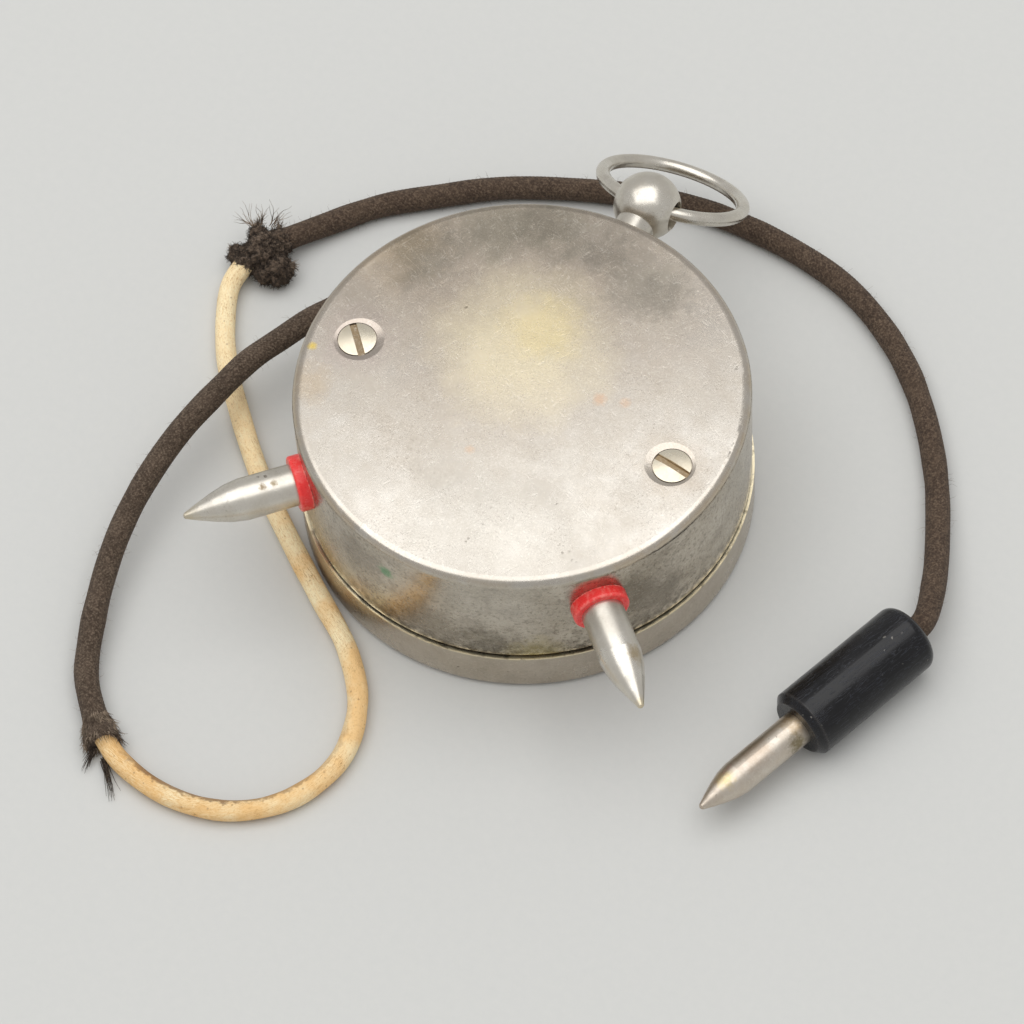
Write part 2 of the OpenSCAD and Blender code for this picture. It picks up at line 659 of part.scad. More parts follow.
module lead_bush_nut() color("#c2a052") on_wall(lead_angle, lead_z) difference() {
    intersection() {
        translate([0, 0, drum_in - nut_t]) cylinder(d = bush_flange_d, h = nut_t);
        drum_axis(drum_in - 0.01);
    }
    translate([0, 0, drum_in - 3]) cylinder(d = braid_d + 2 * wall + 3 * fit, h = 4);
}

// Turned pendant: foot, neck, drilled ball and threaded tail in one piece
module pendant() color("#b4afa6") on_wall(0, pendant_z) difference() {
    union() {
        difference() {
            translate([0, 0, drum_in]) cylinder(d = foot_d, h = wall + foot_t);
            drum_axis(case_r + 0.01);
        }
        translate([0, 0, case_r + 0.3]) cylinder(d = neck_d, h = ball_out - 1);
        translate([0, 0, ball_y]) sphere(d = ball_d, $fn = 96);
        translate([0, 0, drum_in - nut_t - 0.6]) cylinder(d = tail_d, h = nut_t + wall + 1.5);
    }
    translate([0, 0, ball_y]) rotate([0, 90, 0]) bow_bore();
}

// Bell-mouthed hole for a ring that passes through the ball: its radius grows as the wire curves away
bore_steps = 6;
bore_half = ball_d / 2 + 0.2;
function bore_radius(x) = bow_r - sqrt(pow(bow_r - wire_d / 2, 2) - x * x) + 0.15;
module bow_bore() rotate_extrude() polygon(concat(
    [[0, -bore_half]],
    [for (i = [-bore_steps : bore_steps]) let (x = bore_half * i / bore_steps) [bore_radius(x), x]],
    [[0, bore_half]]));

module pendant_nut() color("#c2a052") on_wall(0, pendant_z) difference() {
    intersection() {
        translate([0, 0, drum_in - nut_t]) cylinder(d = nut_across / hex, h = nut_t, $fn = 6);
        drum_axis(drum_in - 0.01);
    }
    translate([0, 0, drum_in - 3]) cylinder(d = tail_d + fit, h = 4);
}

module bow() color("#b4afa6") translate([0, ball_y, pendant_z]) rotate([-bow_lean, 0, 0])
    translate([0, bow_r, 0]) rotate_extrude($fn = 128) translate([bow_r, 0]) circle(d = wire_d);

// Swept tube with flat ends: rings stand on the bisecting planes of the route
function unit(v) = v / norm(v);
function along(p, i) = i == 0 ? unit(p[1] - p[0])
    : i == len(p) - 1 ? unit(p[i] - p[i - 1])
    : unit(unit(p[i] - p[i - 1]) + unit(p[i + 1] - p[i]));
function tube_ring(p, i, r, sides) = let (t = along(p, i), s = unit(cross(t, [0, 0, 1])), u = cross(s, t))
    [for (k = [0 : sides - 1]) let (a = (k + 0.5) * 360 / sides) p[i] + r * (cos(a) * s + sin(a) * u)];
module tube(p, r, sides = 8) {
    n = len(p);
    polyhedron(
        points = [for (i = [0 : n - 1]) each tube_ring(p, i, r, sides)],
        faces = concat(
            [[for (k = [0 : sides - 1]) k]],
            [for (i = [0 : n - 2], k = [0 : sides - 1]) let (a = i * sides + k, b = i * sides + (k + 1) % sides)
                each [[a, a + sides, b], [b, a + sides, b + sides]]],
            [[for (k = [sides - 1 : -1 : 0]) (n - 1) * sides + k]]),
        convexity = 10);
}

// Route of the braid from the bush, behind the drum, round it and down to the table
function wall_point(angle, r, z) = [-r * sin(angle), r * cos(angle), z];
lead_in = drum_in - 2.5;
braid_route = [wall_point(lead_angle, lead_in, lead_z), wall_point(lead_angle, case_r + bush_flange, lead_z),
    [-12, 25.6, 9.6], [-14.2, 27, 9], [-17, 27.4, 8.1], [-19.8, 26.6, 7.4], [-22, 24.7, 7],
    [-23.8, 21.2, 6.9], [-25.6, 15.8, 7], [-28, 10.8, 7.2], [-30.8, 6.3, 7.4], [-32.6, 2.5, 7.4],
    [-34.6, -1.7, 7.2], [-35.9, -6.4, 7], [-37.5, -13.4, 6.4], [-38.2, -21, 5.4], [-37.9, -27.5, 4.4],
    [-36.6, -34.2, 3.3], [-34.4, -41.1, 2.2], [-32.8, -44.4, 1.8], [-28.8, -49, 1.4]];

// Route of the bare inner cord in its loop on the table, to the knot
bare_route = [[-28.8, -49, 1.4], [-24.5, -51.6, 1.2], [-17.5, -53.1, 1.2], [-10.6, -51.8, 1.2],
    [-5.3, -47.6, 1.2], [-2.7, -41, 1.2], [-4.1, -34, 1.2], [-8.4, -28.2, 1.2], [-15.1, -22.9, 1.2],
    [-21.9, -17.5, 1.2], [-28.3, -12, 1.2], [-34.4, -5.6, 1.2], [-39.4, 0.4, 1.2],
    [-42.4, 5.6, 1.2], [-43.9, 9.6, 1.5], [-43.7, 11.9, 2.1], [-43.1, 13.5, 2.5]];

// Route of the braid from the knot behind the drum, under the bow and into the handle
knot_at = [-42.4, 14.9, 2.9];
probe_route = [[-41.5, 16.7, 2.6], [-38.2, 21.6, 1.7], [-33.4, 27.3, 1.4], [-27.6, 31.7, 1.4],
    [-21.7, 35.7, 1.4], [-15.2, 38.7, 1.4], [-8.1, 41.2, 1.4], [-0.7, 42.9, 1.4], [6.9, 43.1, 1.4],
    [14.4, 42.2, 1.4], [21, 40.4, 1.4], [27, 37.2, 1.4], [32.4, 32.9, 1.4], [37.2, 27.4, 1.4],
    [41.6, 20.6, 1.4], [45.2, 12.9, 2.1], [47.4, 7, 3.1], [48.6, 1.8, 4]];

// The hand prod lies on the table: its axis starts at the handle's back end
probe_turn = 68.8;
probe_back = [48.1, -0.6, 0];
module at_probe() {
    translate(probe_back + [0, 0, handle_d / 2]) rotate([0, 0, probe_turn]) rotate([0, -90, 0]) children();
}
probe_dir = [cos(probe_turn), sin(probe_turn), 0];

module lead_braid() color("#3a322c") tube(braid_route, braid_d / 2);

module bare_cord() color("#d8bf8d") tube(bare_route, core_cord_d / 2);

module probe_braid() color("#3a322c") tube(concat(probe_route,
    [probe_back + probe_dir * 0.4 + [0, 0, handle_d / 2], probe_back - probe_dir * 2.6 + [0, 0, handle_d / 2]]),
    braid_d / 2);

// Bound splice: the bare cord is tied back under the braid's frayed end
module lump(r) rotate_extrude($fn = 32)
    polygon([for (i = [0 : 8]) let (a = 22.5 * i - 90) [r * cos(a), r * sin(a)]]);
module splice_knot() color("#2c2521") translate(knot_at) {
    lump(2.7);
    translate([2.5, -1.6, -0.6]) lump(2.1);
    translate([-2.8, -0.8, -1]) lump(1.6);
}

module probe_handle() color("#121214") at_probe() difference() {
    rotate_extrude() {
        polygon([[0, 0], [handle_d / 2 - handle_round, 0], [handle_d / 2, handle_round],
            [handle_d / 2, handle_len - handle_bevel], [handle_d / 2 - handle_bevel, handle_len],
            [0, handle_len]]);
        translate([handle_d / 2 - handle_round, handle_round]) circle(handle_round);
    }
    translate([0, 0, -1]) cylinder(d = braid_d + 2 * fit, h = 5);
    translate([0, 0, 3]) cylinder(d = tail_d + fit, h = handle_len);
}

module probe_pin() color("#b9b3a8") at_probe() {
    translate([0, 0, handle_len]) pointed_bar(pin_d / 2, pin_straight, pin_point, 0.35);
    translate([0, 0, handle_len - 9]) cylinder(d = tail_d, h = 9.5);
}

// Inside wiring: the two prod tags to the spool, and the lead to a coil
module hookup_wires() color("#7c1f1f") {
    spool_top = plate_top + spool_h - wire_r;
    for (s = [-1, 1]) tube([wall_point(s * prod_angle, tag_in - 2 * fit, prod_z + tag_hole),
        wall_point(s * prod_angle, tag_in - 2.4, prod_z + tag_hole - 0.6), [-s * 10.4, -17, prod_z + 1.4],
        [-s * spool_d, spool_y - 0.4, spool_top], [-s * (spool_d / 2 + wire_r + fit), spool_y, spool_top]],
        wire_r, 6);
    tube([wall_point(lead_angle, lead_in - wire_r, lead_z), [-8.4, 17.5, 14], [-8.2, 12, 18],
        [-8, 4, coil_z + coil_d / 2 + 0.9], [-8, staff_y, coil_z + coil_d / 2 - 0.1]], wire_r, 6);
}

case_body();
bezel();
glass();
spacer_ring();
dial_plate();
dial_screws();
dial_posts();
movement_plate();
case_pillars();
case_screws();
front_bridge();
bridge_posts();
bridge_screws();
front_pivot_screw();
rear_bridge();
rear_pillars();
rear_screws();
rear_pivot_screw();
staff();
armature();
pointer();
hairspring();
hairspring_collet();
hairspring_stud();
magnet();
magnet_spacers();
magnet_screws();
coil_bobbins();
coil_windings();
pole_cores();
resistor_spool();
resistor_winding();
resistor_screw();
prod_left();
prod_right();
prod_collars();
prod_washers();
prod_tags();
prod_nuts();
lead_bush();
lead_bush_nut();
pendant();
pendant_nut();
bow();
hookup_wires();
lead_braid();
bare_cord();
splice_knot();
probe_braid();
probe_handle();
probe_pin();
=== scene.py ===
import math
import bmesh
import bpy
import numpy as np
from mathutils import Matrix, Vector, noise


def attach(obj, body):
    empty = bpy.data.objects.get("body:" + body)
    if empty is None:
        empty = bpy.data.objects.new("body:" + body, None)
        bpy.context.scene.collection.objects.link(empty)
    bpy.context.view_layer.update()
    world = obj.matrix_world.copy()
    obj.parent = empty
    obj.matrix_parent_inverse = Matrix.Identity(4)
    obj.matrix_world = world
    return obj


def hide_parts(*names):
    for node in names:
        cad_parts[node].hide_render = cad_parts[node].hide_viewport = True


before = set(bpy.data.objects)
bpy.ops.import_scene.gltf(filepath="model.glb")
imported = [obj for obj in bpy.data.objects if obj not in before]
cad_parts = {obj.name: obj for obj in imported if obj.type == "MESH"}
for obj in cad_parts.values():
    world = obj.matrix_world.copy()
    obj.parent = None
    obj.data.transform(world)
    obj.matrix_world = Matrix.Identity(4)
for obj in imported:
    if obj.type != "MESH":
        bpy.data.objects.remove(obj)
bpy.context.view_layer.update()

# Camera
# The picture was taken from above, with the meter turned under the lens. The heading is
# about the drum's axis, the elevation is measured from the table, and the tilt is about
# the line of sight. look_at is a point on the table.
heading = math.radians(30.4)
elevation = math.radians(57.9)
tilt = math.radians(-4.2)
distance = 0.5697
look_at = Vector((-0.00205, -0.00259, 0.0))
back = Vector((0.0, -math.cos(elevation), math.sin(elevation)))
right = Vector((1.0, 0.0, 0.0))
up = back.cross(right)
tilted_right = math.cos(tilt) * right + math.sin(tilt) * up
tilted_up = -math.sin(tilt) * right + math.cos(tilt) * up
turn = Matrix.Rotation(heading, 4, "Z")
camera_data = bpy.data.cameras.new("photo_camera")
focal_pixels = 5000
frame_pixels = 1024
camera_data.sensor_width = 36
camera_data.lens = focal_pixels / frame_pixels * camera_data.sensor_width
camera_data.clip_start = 0.01
camera = bpy.data.objects.new("photo_camera", camera_data)
bpy.context.scene.collection.objects.link(camera)
place = Matrix((tilted_right, tilted_up, back)).transposed().to_4x4()
place.translation = look_at + back * distance
camera.matrix_world = turn @ place
bpy.context.scene.camera = camera
bpy.context.scene.view_settings.view_transform = "Standard"

# Cords
# The lead is one cotton-braided flex in two lengths, with a bare inner cord between them.
# It leaves the bush in the drum's wall and ends in the back of the hand prod.
MM = 0.001
braid_step = 0.16
random_source = np.random.default_rng(7)


def smooth_route(points, step):
    """Runs a smooth curve through the points and cuts it into equal steps."""
    samples_per_span = 40
    given = np.array(points, float)
    ends = np.vstack([2 * given[0] - given[1], given, 2 * given[-1] - given[-2]])
    fine = []
    for i in range(1, len(ends) - 2):
        p0, p1, p2, p3 = ends[i - 1:i + 3]
        t1 = np.linalg.norm(p1 - p0) ** 0.5
        t2 = t1 + np.linalg.norm(p2 - p1) ** 0.5
        t3 = t2 + np.linalg.norm(p3 - p2) ** 0.5
        for t in np.linspace(t1, t2, samples_per_span, endpoint=False):
            a1 = ((t1 - t) * p0 + t * p1) / t1
            a2 = ((t2 - t) * p1 + (t - t1) * p2) / (t2 - t1)
            a3 = ((t3 - t) * p2 + (t - t2) * p3) / (t3 - t2)
            b1 = ((t2 - t) * a1 + t * a2) / t2
            b2 = ((t3 - t) * a2 + (t - t1) * a3) / (t3 - t1)
            fine.append(((t2 - t) * b1 + (t - t1) * b2) / (t2 - t1))
    fine.append(given[-1])
    fine = np.array(fine)
    run = np.concatenate([[0], np.cumsum(np.linalg.norm(np.diff(fine, axis=0), axis=1))])
    at = np.linspace(0, run[-1], int(run[-1] / step) + 1)
    return np.column_stack([np.interp(at, run, fine[:, k]) for k in range(3)]), at


def cord_frames(centre):
    """Directions along, beside and above the cord at every ring, without twist."""
    along = np.gradient(centre, axis=0)
    along /= np.linalg.norm(along, axis=1)[:, None]
    side = np.zeros_like(along)
    side[0] = np.cross(along[0], (0.0, 0.0, 1.0))
    side[0] /= np.linalg.norm(side[0])
    for i in range(1, len(centre)):
        kept = side[i - 1] - along[i] * np.dot(side[i - 1], along[i])
        side[i] = kept / np.linalg.norm(kept)
    return along, side, np.cross(along, side)


def new_piece(name, mesh, material):
    """Adds a mesh to the scene as a piece that rides on the drum."""
    piece = bpy.data.objects.new(name, mesh)
    bpy.context.scene.collection.objects.link(piece)
    mesh.materials.append(material)
    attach(piece, "drum")
    return piece


def cord_mesh(name, centre, radius, values):
    """Closed tube with a radius in millimetres at each ring and side, and values on its points."""
    rings, sides = radius.shape
    along, side, above = cord_frames(centre)
    angle = np.arange(sides) / sides * 2 * np.pi
    spoke = np.cos(angle)[None, :, None] * side[:, None, :]
    spoke = spoke + np.sin(angle)[None, :, None] * above[:, None, :]
    points = (centre[:, None, :] + spoke * radius[:, :, None]).reshape(-1, 3)
    points = np.vstack([points, centre[0], centre[-1]])
    i, k = np.meshgrid(np.arange(rings - 1), np.arange(sides), indexing="ij")
    following = (k + 1) % sides
    ring, next_ring = i * sides, (i + 1) * sides
    quads = np.stack([ring + k, ring + following, next_ring + following, next_ring + k], -1)
    faces = quads.reshape(-1, 4).tolist()
    first, last = rings * sides, rings * sides + 1
    faces += [[first, (j + 1) % sides, j] for j in range(sides)]
    top = (rings - 1) * sides
    faces += [[last, top + j, top + (j + 1) % sides] for j in range(sides)]
    mesh = bpy.data.meshes.new(name)
    mesh.from_pydata((points * MM).tolist(), [], faces)
    mesh.shade_smooth()
    for key, grid in values.items():
        stored = mesh.attributes.new(key, "FLOAT", "POINT")
        flat = np.concatenate([grid.reshape(-1), [grid[0].mean(), grid[-1].mean()]])
        stored.data.foreach_set("value", flat.astype(np.float32))
    return mesh


def braided_tube(name, points, diameter, flare=0.0):
    """Flex covered with a two-over-two cotton braid of twenty strands each way."""
    strands = 20
    strand_depth = 0.07
    strand_height = 0.08
    lump_spacing = 3.0
    lump_size = 0.04
    mouth_length = 2.0
    table_clearance = 0.05
    centre, run = smooth_route(points, braid_step)
    sides = strands * 4
    share = (np.arange(sides) / sides)[None, :]
    lay = (run / (math.pi * diameter))[:, None]
    one = strands * (share + lay)
    other = strands * (share - lay)
    phase = np.mod(np.floor(one) + np.floor(other), 4)
    over = phase < 2
    across = np.where(over, np.mod(one, 1), np.mod(other, 1))
    forward = np.where(over, phase + np.mod(other, 1), phase - 2 + np.mod(one, 1)) / 2
    relief = np.sqrt(np.sin(np.pi * across)) * (0.55 + 0.45 * np.sin(np.pi * forward))
    number = np.where(over, np.mod(np.floor(one), strands), strands + np.mod(np.floor(other), strands))
    shades = random_source.random(2 * strands)
    lump_places = np.arange(0, run[-1] + 2 * lump_spacing, lump_spacing)
    lump_sizes = 1 + random_source.uniform(-lump_size, lump_size, len(lump_places))
    lumps = np.interp(run, lump_places, lump_sizes)
    left = run[-1] - run
    mouth = 1 + flare * np.exp(-(left / mouth_length) ** 2)
    radius = (diameter / 2 - strand_depth + strand_height * relief) * (lumps * mouth)[:, None]
    mesh = cord_mesh(name, centre, radius, {"relief": relief, "shade": shades[number.astype(int)]})
    for vertex in mesh.vertices:
        vertex.co.z = max(vertex.co.z, table_clearance * MM)
    return mesh, centre, run[-1]


def fibre_mesh(name, roots, heads, lengths, width, curl, droop, steps=6):
    """Fine three-sided threads that start at the roots, set out along the heads and curl."""
    taper = 0.75
    corner_angles = (0, 2.1, 4.2)
    lowest = 0.1
    points, faces = [], []
    for root, head, length in zip(roots, heads, lengths):
        at = np.array(root, float)
        way = np.array(head, float)
        for j in range(steps + 1):
            thin = width * (1 - taper * j / steps)
            beside = np.cross(way, (0.3, 0.2, 0.93))
            beside /= max(np.linalg.norm(beside), 1e-6)
            above = np.cross(way, beside)
            for a in corner_angles:
                points.append(at + thin * (math.cos(a) * beside + math.sin(a) * above))
            at = at + way * length / steps
            way = way + random_source.normal(0, curl, 3) + (0, 0, -droop)
            way = way / np.linalg.norm(way)
            at[2] = max(at[2], lowest)
        start = len(points) - 3 * (steps + 1)
        for j in range(steps):
            for k in range(3):
                a, b = start + 3 * j + k, start + 3 * j + (k + 1) % 3
                faces.append((a, b, b + 3, a + 3))
    mesh = bpy.data.meshes.new(name)
    mesh.from_pydata((np.array(points) * MM).tolist(), [], faces)
    mesh.shade_smooth()
    return mesh


def tufts(bunches):
    """Roots, directions and lengths of threads in bunches.

    A bunch is given as its root, direction, length, count and spread.
    """
    root_spread = 0.16
    shortest = 0.35
    roots, heads, lengths = [], [], []
    for root, way, length, count, spread in bunches:
        roots.append(np.array(root) + random_source.normal(0, root_spread, (count, 3)))
        heads.append(np.array(way) + random_source.normal(0, spread, (count, 3)))
        lengths.append(length * random_source.uniform(shortest, 1.0, count))
    heads = np.vstack(heads)
    return np.vstack(roots), heads / np.linalg.norm(heads, axis=1)[:, None], np.concatenate(lengths)


def fluff(name, centre, radius, count, length):
    """Stray fibres that stand off a cord."""
    along, side, above = cord_frames(centre)
    at = random_source.integers(2, len(centre) - 2, count)
    angle = random_source.uniform(0, 2 * np.pi, count)
    out = np.cos(angle)[:, None] * side[at] + np.sin(angle)[:, None] * above[at]
    heads = out * 0.7 + along[at] * random_source.uniform(-1, 1, count)[:, None]
    heads /= np.linalg.norm(heads, axis=1)[:, None]
    lengths = length * random_source.uniform(0.4, 1.2, count)
    roots = centre[at] + out * radius * 0.92
    return fibre_mesh(name, roots, heads, lengths, width=0.018, curl=0.35, droop=0.02)


lead_turn = math.radians(24.5)
lead_out = (-math.sin(lead_turn), math.cos(lead_turn))
lead_height = 9.9
bush_inside = 22.4
bush_outside = 26.2
lead_points = [(bush_inside * lead_out[0], bush_inside * lead_out[1], lead_height),
    (bush_outside * lead_out[0], bush_outside * lead_out[1], lead_height),
    (-12, 25.6, 9.6), (-14.2, 27, 9), (-17, 27.4, 8.1), (-19.8, 26.6, 7.4), (-22, 24.7, 7),
    (-23.8, 21.2, 6.9), (-25.6, 15.8, 7), (-28, 10.8, 7.2), (-30.8, 6.3, 7.4), (-32.6, 2.5, 7.4),
    (-34.6, -1.7, 7.2), (-35.9, -6.4, 7), (-37.5, -13.4, 6.4), (-38.2, -21, 5.4), (-37.9, -27.5, 4.4),
    (-36.6, -34.2, 3.3), (-34.4, -41.1, 2.2), (-32.8, -44.4, 1.8), (-28.8, -49, 1.4), (-27.6, -50.3, 1.4)]
bare_points = [(-28.8, -49, 1.4), (-24.5, -51.6, 1.2), (-17.5, -53.1, 1.2), (-10.6, -51.8, 1.2),
    (-5.3, -47.6, 1.2), (-2.7, -41, 1.2), (-4.1, -34, 1.2), (-8.4, -28.2, 1.2), (-15.1, -22.9, 1.2),
    (-21.9, -17.5, 1.2), (-28.3, -12, 1.2), (-34.4, -5.6, 1.2), (-39.4, 0.4, 1.2),
    (-42.4, 5.6, 1.2), (-43.9, 9.6, 1.5), (-43.7, 11.9, 2.1), (-43.1, 13.5, 2.5)]
probe_turn = math.radians(68.8)
probe_way = (math.cos(probe_turn), math.sin(probe_turn))
handle_back = (48.1, -0.6)
handle_axis = 4.1
probe_points = [(-41.5, 16.7, 2.6), (-38.2, 21.6, 1.7), (-33.4, 27.3, 1.4), (-27.6, 31.7, 1.4),
    (-21.7, 35.7, 1.4), (-15.2, 38.7, 1.4), (-8.1, 41.2, 1.4), (-0.7, 42.9, 1.4), (6.9, 43.1, 1.4),
    (14.4, 42.2, 1.4), (21, 40.4, 1.4), (27, 37.2, 1.4), (32.4, 32.9, 1.4), (37.2, 27.4, 1.4),
    (41.6, 20.6, 1.4), (45.2, 12.9, 2.1), (47.4, 7, 3.1), (48.6, 1.8, 4)]
probe_points += [(handle_back[0] + reach * probe_way[0], handle_back[1] + reach * probe_way[1], handle_axis)
    for reach in (0.4, -2.6)]


def add(tree, kind, values=None, **options):
    """Adds a shader node, its inputs given by name or number, as values or as outputs."""
    made = tree.nodes.new(kind)
    for option, choice in options.items():
        setattr(made, option, choice)
    for socket, value in (values or {}).items():
        if isinstance(value, bpy.types.NodeSocket):
            tree.links.new(value, made.inputs[socket])
        else:
            made.inputs[socket].default_value = value
    return made


def maths(tree, operation, *values):
    return add(tree, "ShaderNodeMath", dict(enumerate(values)), operation=operation).outputs[0]


def remap(tree, value, low, high, start=0.0, end=1.0):
    return add(tree, "ShaderNodeMapRange", {0: value, 1: low, 2: high, 3: start, 4: end}).outputs[0]


def blend(tree, factor, first, second):
    colour = add(tree, "ShaderNodeMix", {0: factor}, data_type="RGBA")
    for socket, value in ((6, first), (7, second)):
        if isinstance(value, bpy.types.NodeSocket):
            tree.links.new(value, colour.inputs[socket])
        else:
            colour.inputs[socket].default_value = (*value, 1)
    return colour.outputs[2]


def grain(tree, vector, scale, detail=3.0, roughness=0.55):
    return add(tree, "ShaderNodeTexNoise", {"Vector": vector, "Scale": scale, "Detail": detail,
        "Roughness": roughness}).outputs[0]


def point_value(tree, name):
    return add(tree, "ShaderNodeAttribute", attribute_name=name).outputs["Fac"]


def new_material(name):
    material = bpy.data.materials.new(name)
    material.use_nodes = True
    tree = material.node_tree
    return material, tree, tree.nodes["Principled BSDF"], add(tree, "ShaderNodeTexCoord").outputs["Object"]


def connect(tree, shader, **sockets):
    """Sets the shader's inputs; an underscore in a name stands for a space."""
    for name, value in sockets.items():
        socket = shader.inputs[name.replace("_", " ")]
        if isinstance(value, bpy.types.NodeSocket):
            tree.links.new(value, socket)
        elif isinstance(value, tuple) and len(value) == 3:
            socket.default_value = (*value, 1)
        else:
            socket.default_value = value


def bump(tree, height, distance, strength=1.0):
    values = {"Height": height, "Distance": distance, "Strength": strength}
    return add(tree, "ShaderNodeBump", values).outputs[0]


def braid_material(name, dark, light, dust):
    """Dark brown-grey cotton, each strand a little different, dusty on top, with painted shade in the gaps
    between strands.
    """
    material, tree, shader, place = new_material(name)
    relief = point_value(tree, "relief")
    shade = point_value(tree, "shade")
    fuzz = grain(tree, place, 4200.0, 4.0, 0.7)
    patch = grain(tree, place, 160.0, 2.0)
    gap_shade_and_dark_fibre = (0.03, 0.022, 0.017)
    colour = blend(tree, maths(tree, "MULTIPLY", shade, 0.6), dark, light)
    # Painted shade: darker in the gaps between strands, where the relief is low.
    colour = blend(tree, remap(tree, relief, 0.6, 0.0, 0.0, 0.65), colour, gap_shade_and_dark_fibre)
    dusty = maths(tree, "MULTIPLY", remap(tree, relief, 0.7, 1.0),
        remap(tree, patch, 0.42, 0.68, 0.05, 0.45))
    colour = blend(tree, dusty, colour, dust)
    colour = blend(tree, remap(tree, fuzz, 0.5, 0.7, 0.0, 0.6), colour, dust)
    colour = blend(tree, remap(tree, fuzz, 0.5, 0.3, 0.0, 0.6), colour, gap_shade_and_dark_fibre)
    connect(tree, shader, Base_Color=colour, Roughness=0.92, Specular_IOR_Level=0.2,
        Sheen_Weight=0.04, Sheen_Roughness=0.6, Normal=bump(tree, fuzz, 0.0001))
    return material


grey_braid = braid_material("grey_braid", (0.056, 0.038, 0.026), (0.145, 0.104, 0.075),
    (0.27, 0.21, 0.155))
brown_braid = braid_material("brown_braid", (0.053, 0.034, 0.024), (0.14, 0.096, 0.065),
    (0.24, 0.178, 0.126))

lead_mesh, lead_centre, lead_length = braided_tube("lead_flex", lead_points, 2.8, 0.45)
lead_flex = new_piece("lead_flex", lead_mesh, grey_braid)
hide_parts("lead_braid")
probe_mesh, probe_centre, probe_length = braided_tube("probe_flex", probe_points, 2.8)
probe_flex = new_piece("probe_flex", probe_mesh, brown_braid)
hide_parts("probe_braid")

# Stray cotton of the braid
# Short fibres stand off the worn braid all along it. At the frayed end of the first
# length they form a ruff, with two tufts of dark thread that lie on the table.
thread_material, tree, shader, place = new_material("cotton_thread")
connect(tree, shader, Base_Color=blend(tree, remap(tree, grain(tree, place, 900.0), 0.4, 0.6),
    (0.09, 0.065, 0.048), (0.32, 0.25, 0.185)), Roughness=0.95, Specular_IOR_Level=0.15,
    Normal=bump(tree, grain(tree, place, 9000.0), 0.00002))
lead_fluff = new_piece("lead_fluff", fluff("lead_fluff", lead_centre, 1.4, 420, 1.1), thread_material)
probe_fluff = new_piece("probe_fluff", fluff("probe_fluff", probe_centre, 1.4, 480, 1.0), thread_material)
count = 900
ruff_length = 3.4
ruff_radius = 1.95
ruff_slope = 0.16
along, side, above = cord_frames(lead_centre)
turns = random_source.uniform(0, 2 * np.pi, count)
sunk = random_source.uniform(0.0, ruff_length, count)
rows = len(lead_centre) - 1 - (sunk / braid_step).astype(int)
out = np.cos(turns)[:, None] * side[rows] + np.sin(turns)[:, None] * above[rows]
heads = out * random_source.uniform(0.05, 0.5, count)[:, None] + along[rows]
heads += random_source.normal(0, 0.12, (count, 3))
heads /= np.linalg.norm(heads, axis=1)[:, None]
roots = lead_centre[rows] + out * (ruff_radius - ruff_slope * sunk)[:, None]
roots[:, 2] = np.maximum(roots[:, 2], 0.12)
lengths = random_source.uniform(0.7, 1.7, count)
hung = tufts([((-28.0, -51.5, 0.8), (0.1, -1.0, 0.0), 2.8, 30, 0.05),
    ((-26.6, -51.9, 0.6), (0.68, -0.74, 0.0), 5.6, 22, 0.015)])
ruff_mesh = fibre_mesh("lead_ruff", roots, heads, lengths, width=0.055, curl=0.16, droop=0.03)
lead_ruff = new_piece("lead_ruff", ruff_mesh, thread_material)
tuft_mesh = fibre_mesh("lead_tufts", *hung, width=0.07, curl=0.035, droop=0.012)
lead_tufts = new_piece("lead_tufts", tuft_mesh, grey_braid)

# Bare inner cord
# A waxed cream cotton core that shows where the braid has frayed away. It runs in a
# loop on the table from the frayed end back to the knot.
core_step = 0.3
core_radius = 1.16
core_sides = 32
plies = 6
ply_lay = 7.5
ply_height = 0.04
swell_spacing = 2.5
swell_past_end = 6
swell_size = 0.035
flattening = 0.05
bare_centre, bare_run = smooth_route(bare_points, core_step)
swell_places = np.arange(0, bare_run[-1] + swell_past_end, swell_spacing)
swell_sizes = 1 + random_source.uniform(-swell_size, swell_size, len(swell_places))
swell = np.interp(bare_run, swell_places, swell_sizes)
angle = np.arange(core_sides) / core_sides * 2 * np.pi
ply = 0.5 + 0.5 * np.cos(plies * angle[None, :] + 2 * np.pi * bare_run[:, None] / ply_lay)
flat = 1 - flattening * np.sin(angle)[None, :] ** 2
bare_radius = (core_radius * swell[:, None] + ply_height * ply) * flat
bare_mesh = cord_mesh("inner_cord", bare_centre, bare_radius, {
    "run": np.repeat(bare_run[:, None], core_sides, 1), "relief": ply,
    "beside": np.repeat(np.cos(angle)[None, :], len(bare_run), 0)})
bare_material, tree, shader, place = new_material("waxed_core")
run_at = point_value(tree, "run")
beside = point_value(tree, "beside")
on_cord = add(tree, "ShaderNodeCombineXYZ", {0: maths(tree, "MULTIPLY", run_at, 0.35),
    1: maths(tree, "MULTIPLY", point_value(tree, "relief"), 3.0),
    2: maths(tree, "MULTIPLY", beside, 2.0)}).outputs[0]
streak = grain(tree, on_cord, 3.0, 5.0, 0.65)
fine = grain(tree, place, 4200.0, 4.0, 0.65)
colour = blend(tree, remap(tree, streak, 0.35, 0.6), (0.93, 0.7, 0.38), (0.99, 0.87, 0.58))
golden = maths(tree, "MULTIPLY", remap(tree, run_at, 88.0, 62.0, 0.15, 0.8),
    remap(tree, grain(tree, place, 190.0), 0.35, 0.56))
colour = blend(tree, golden, colour, (0.87, 0.54, 0.22))
colour = blend(tree, remap(tree, fine, 0.52, 0.68, 0.0, 0.5), colour, (0.62, 0.38, 0.16))
thread_dirt = maths(tree, "MULTIPLY", remap(tree, streak, 0.45, 0.36),
    remap(tree, grain(tree, place, 330.0), 0.44, 0.58))
colour = blend(tree, maths(tree, "MULTIPLY", thread_dirt, 0.75), colour, (0.4, 0.22, 0.09))
near_fray = maths(tree, "MULTIPLY", remap(tree, run_at, 34.0, 5.0, 0.0, 0.65),
    remap(tree, streak, 0.64, 0.42))
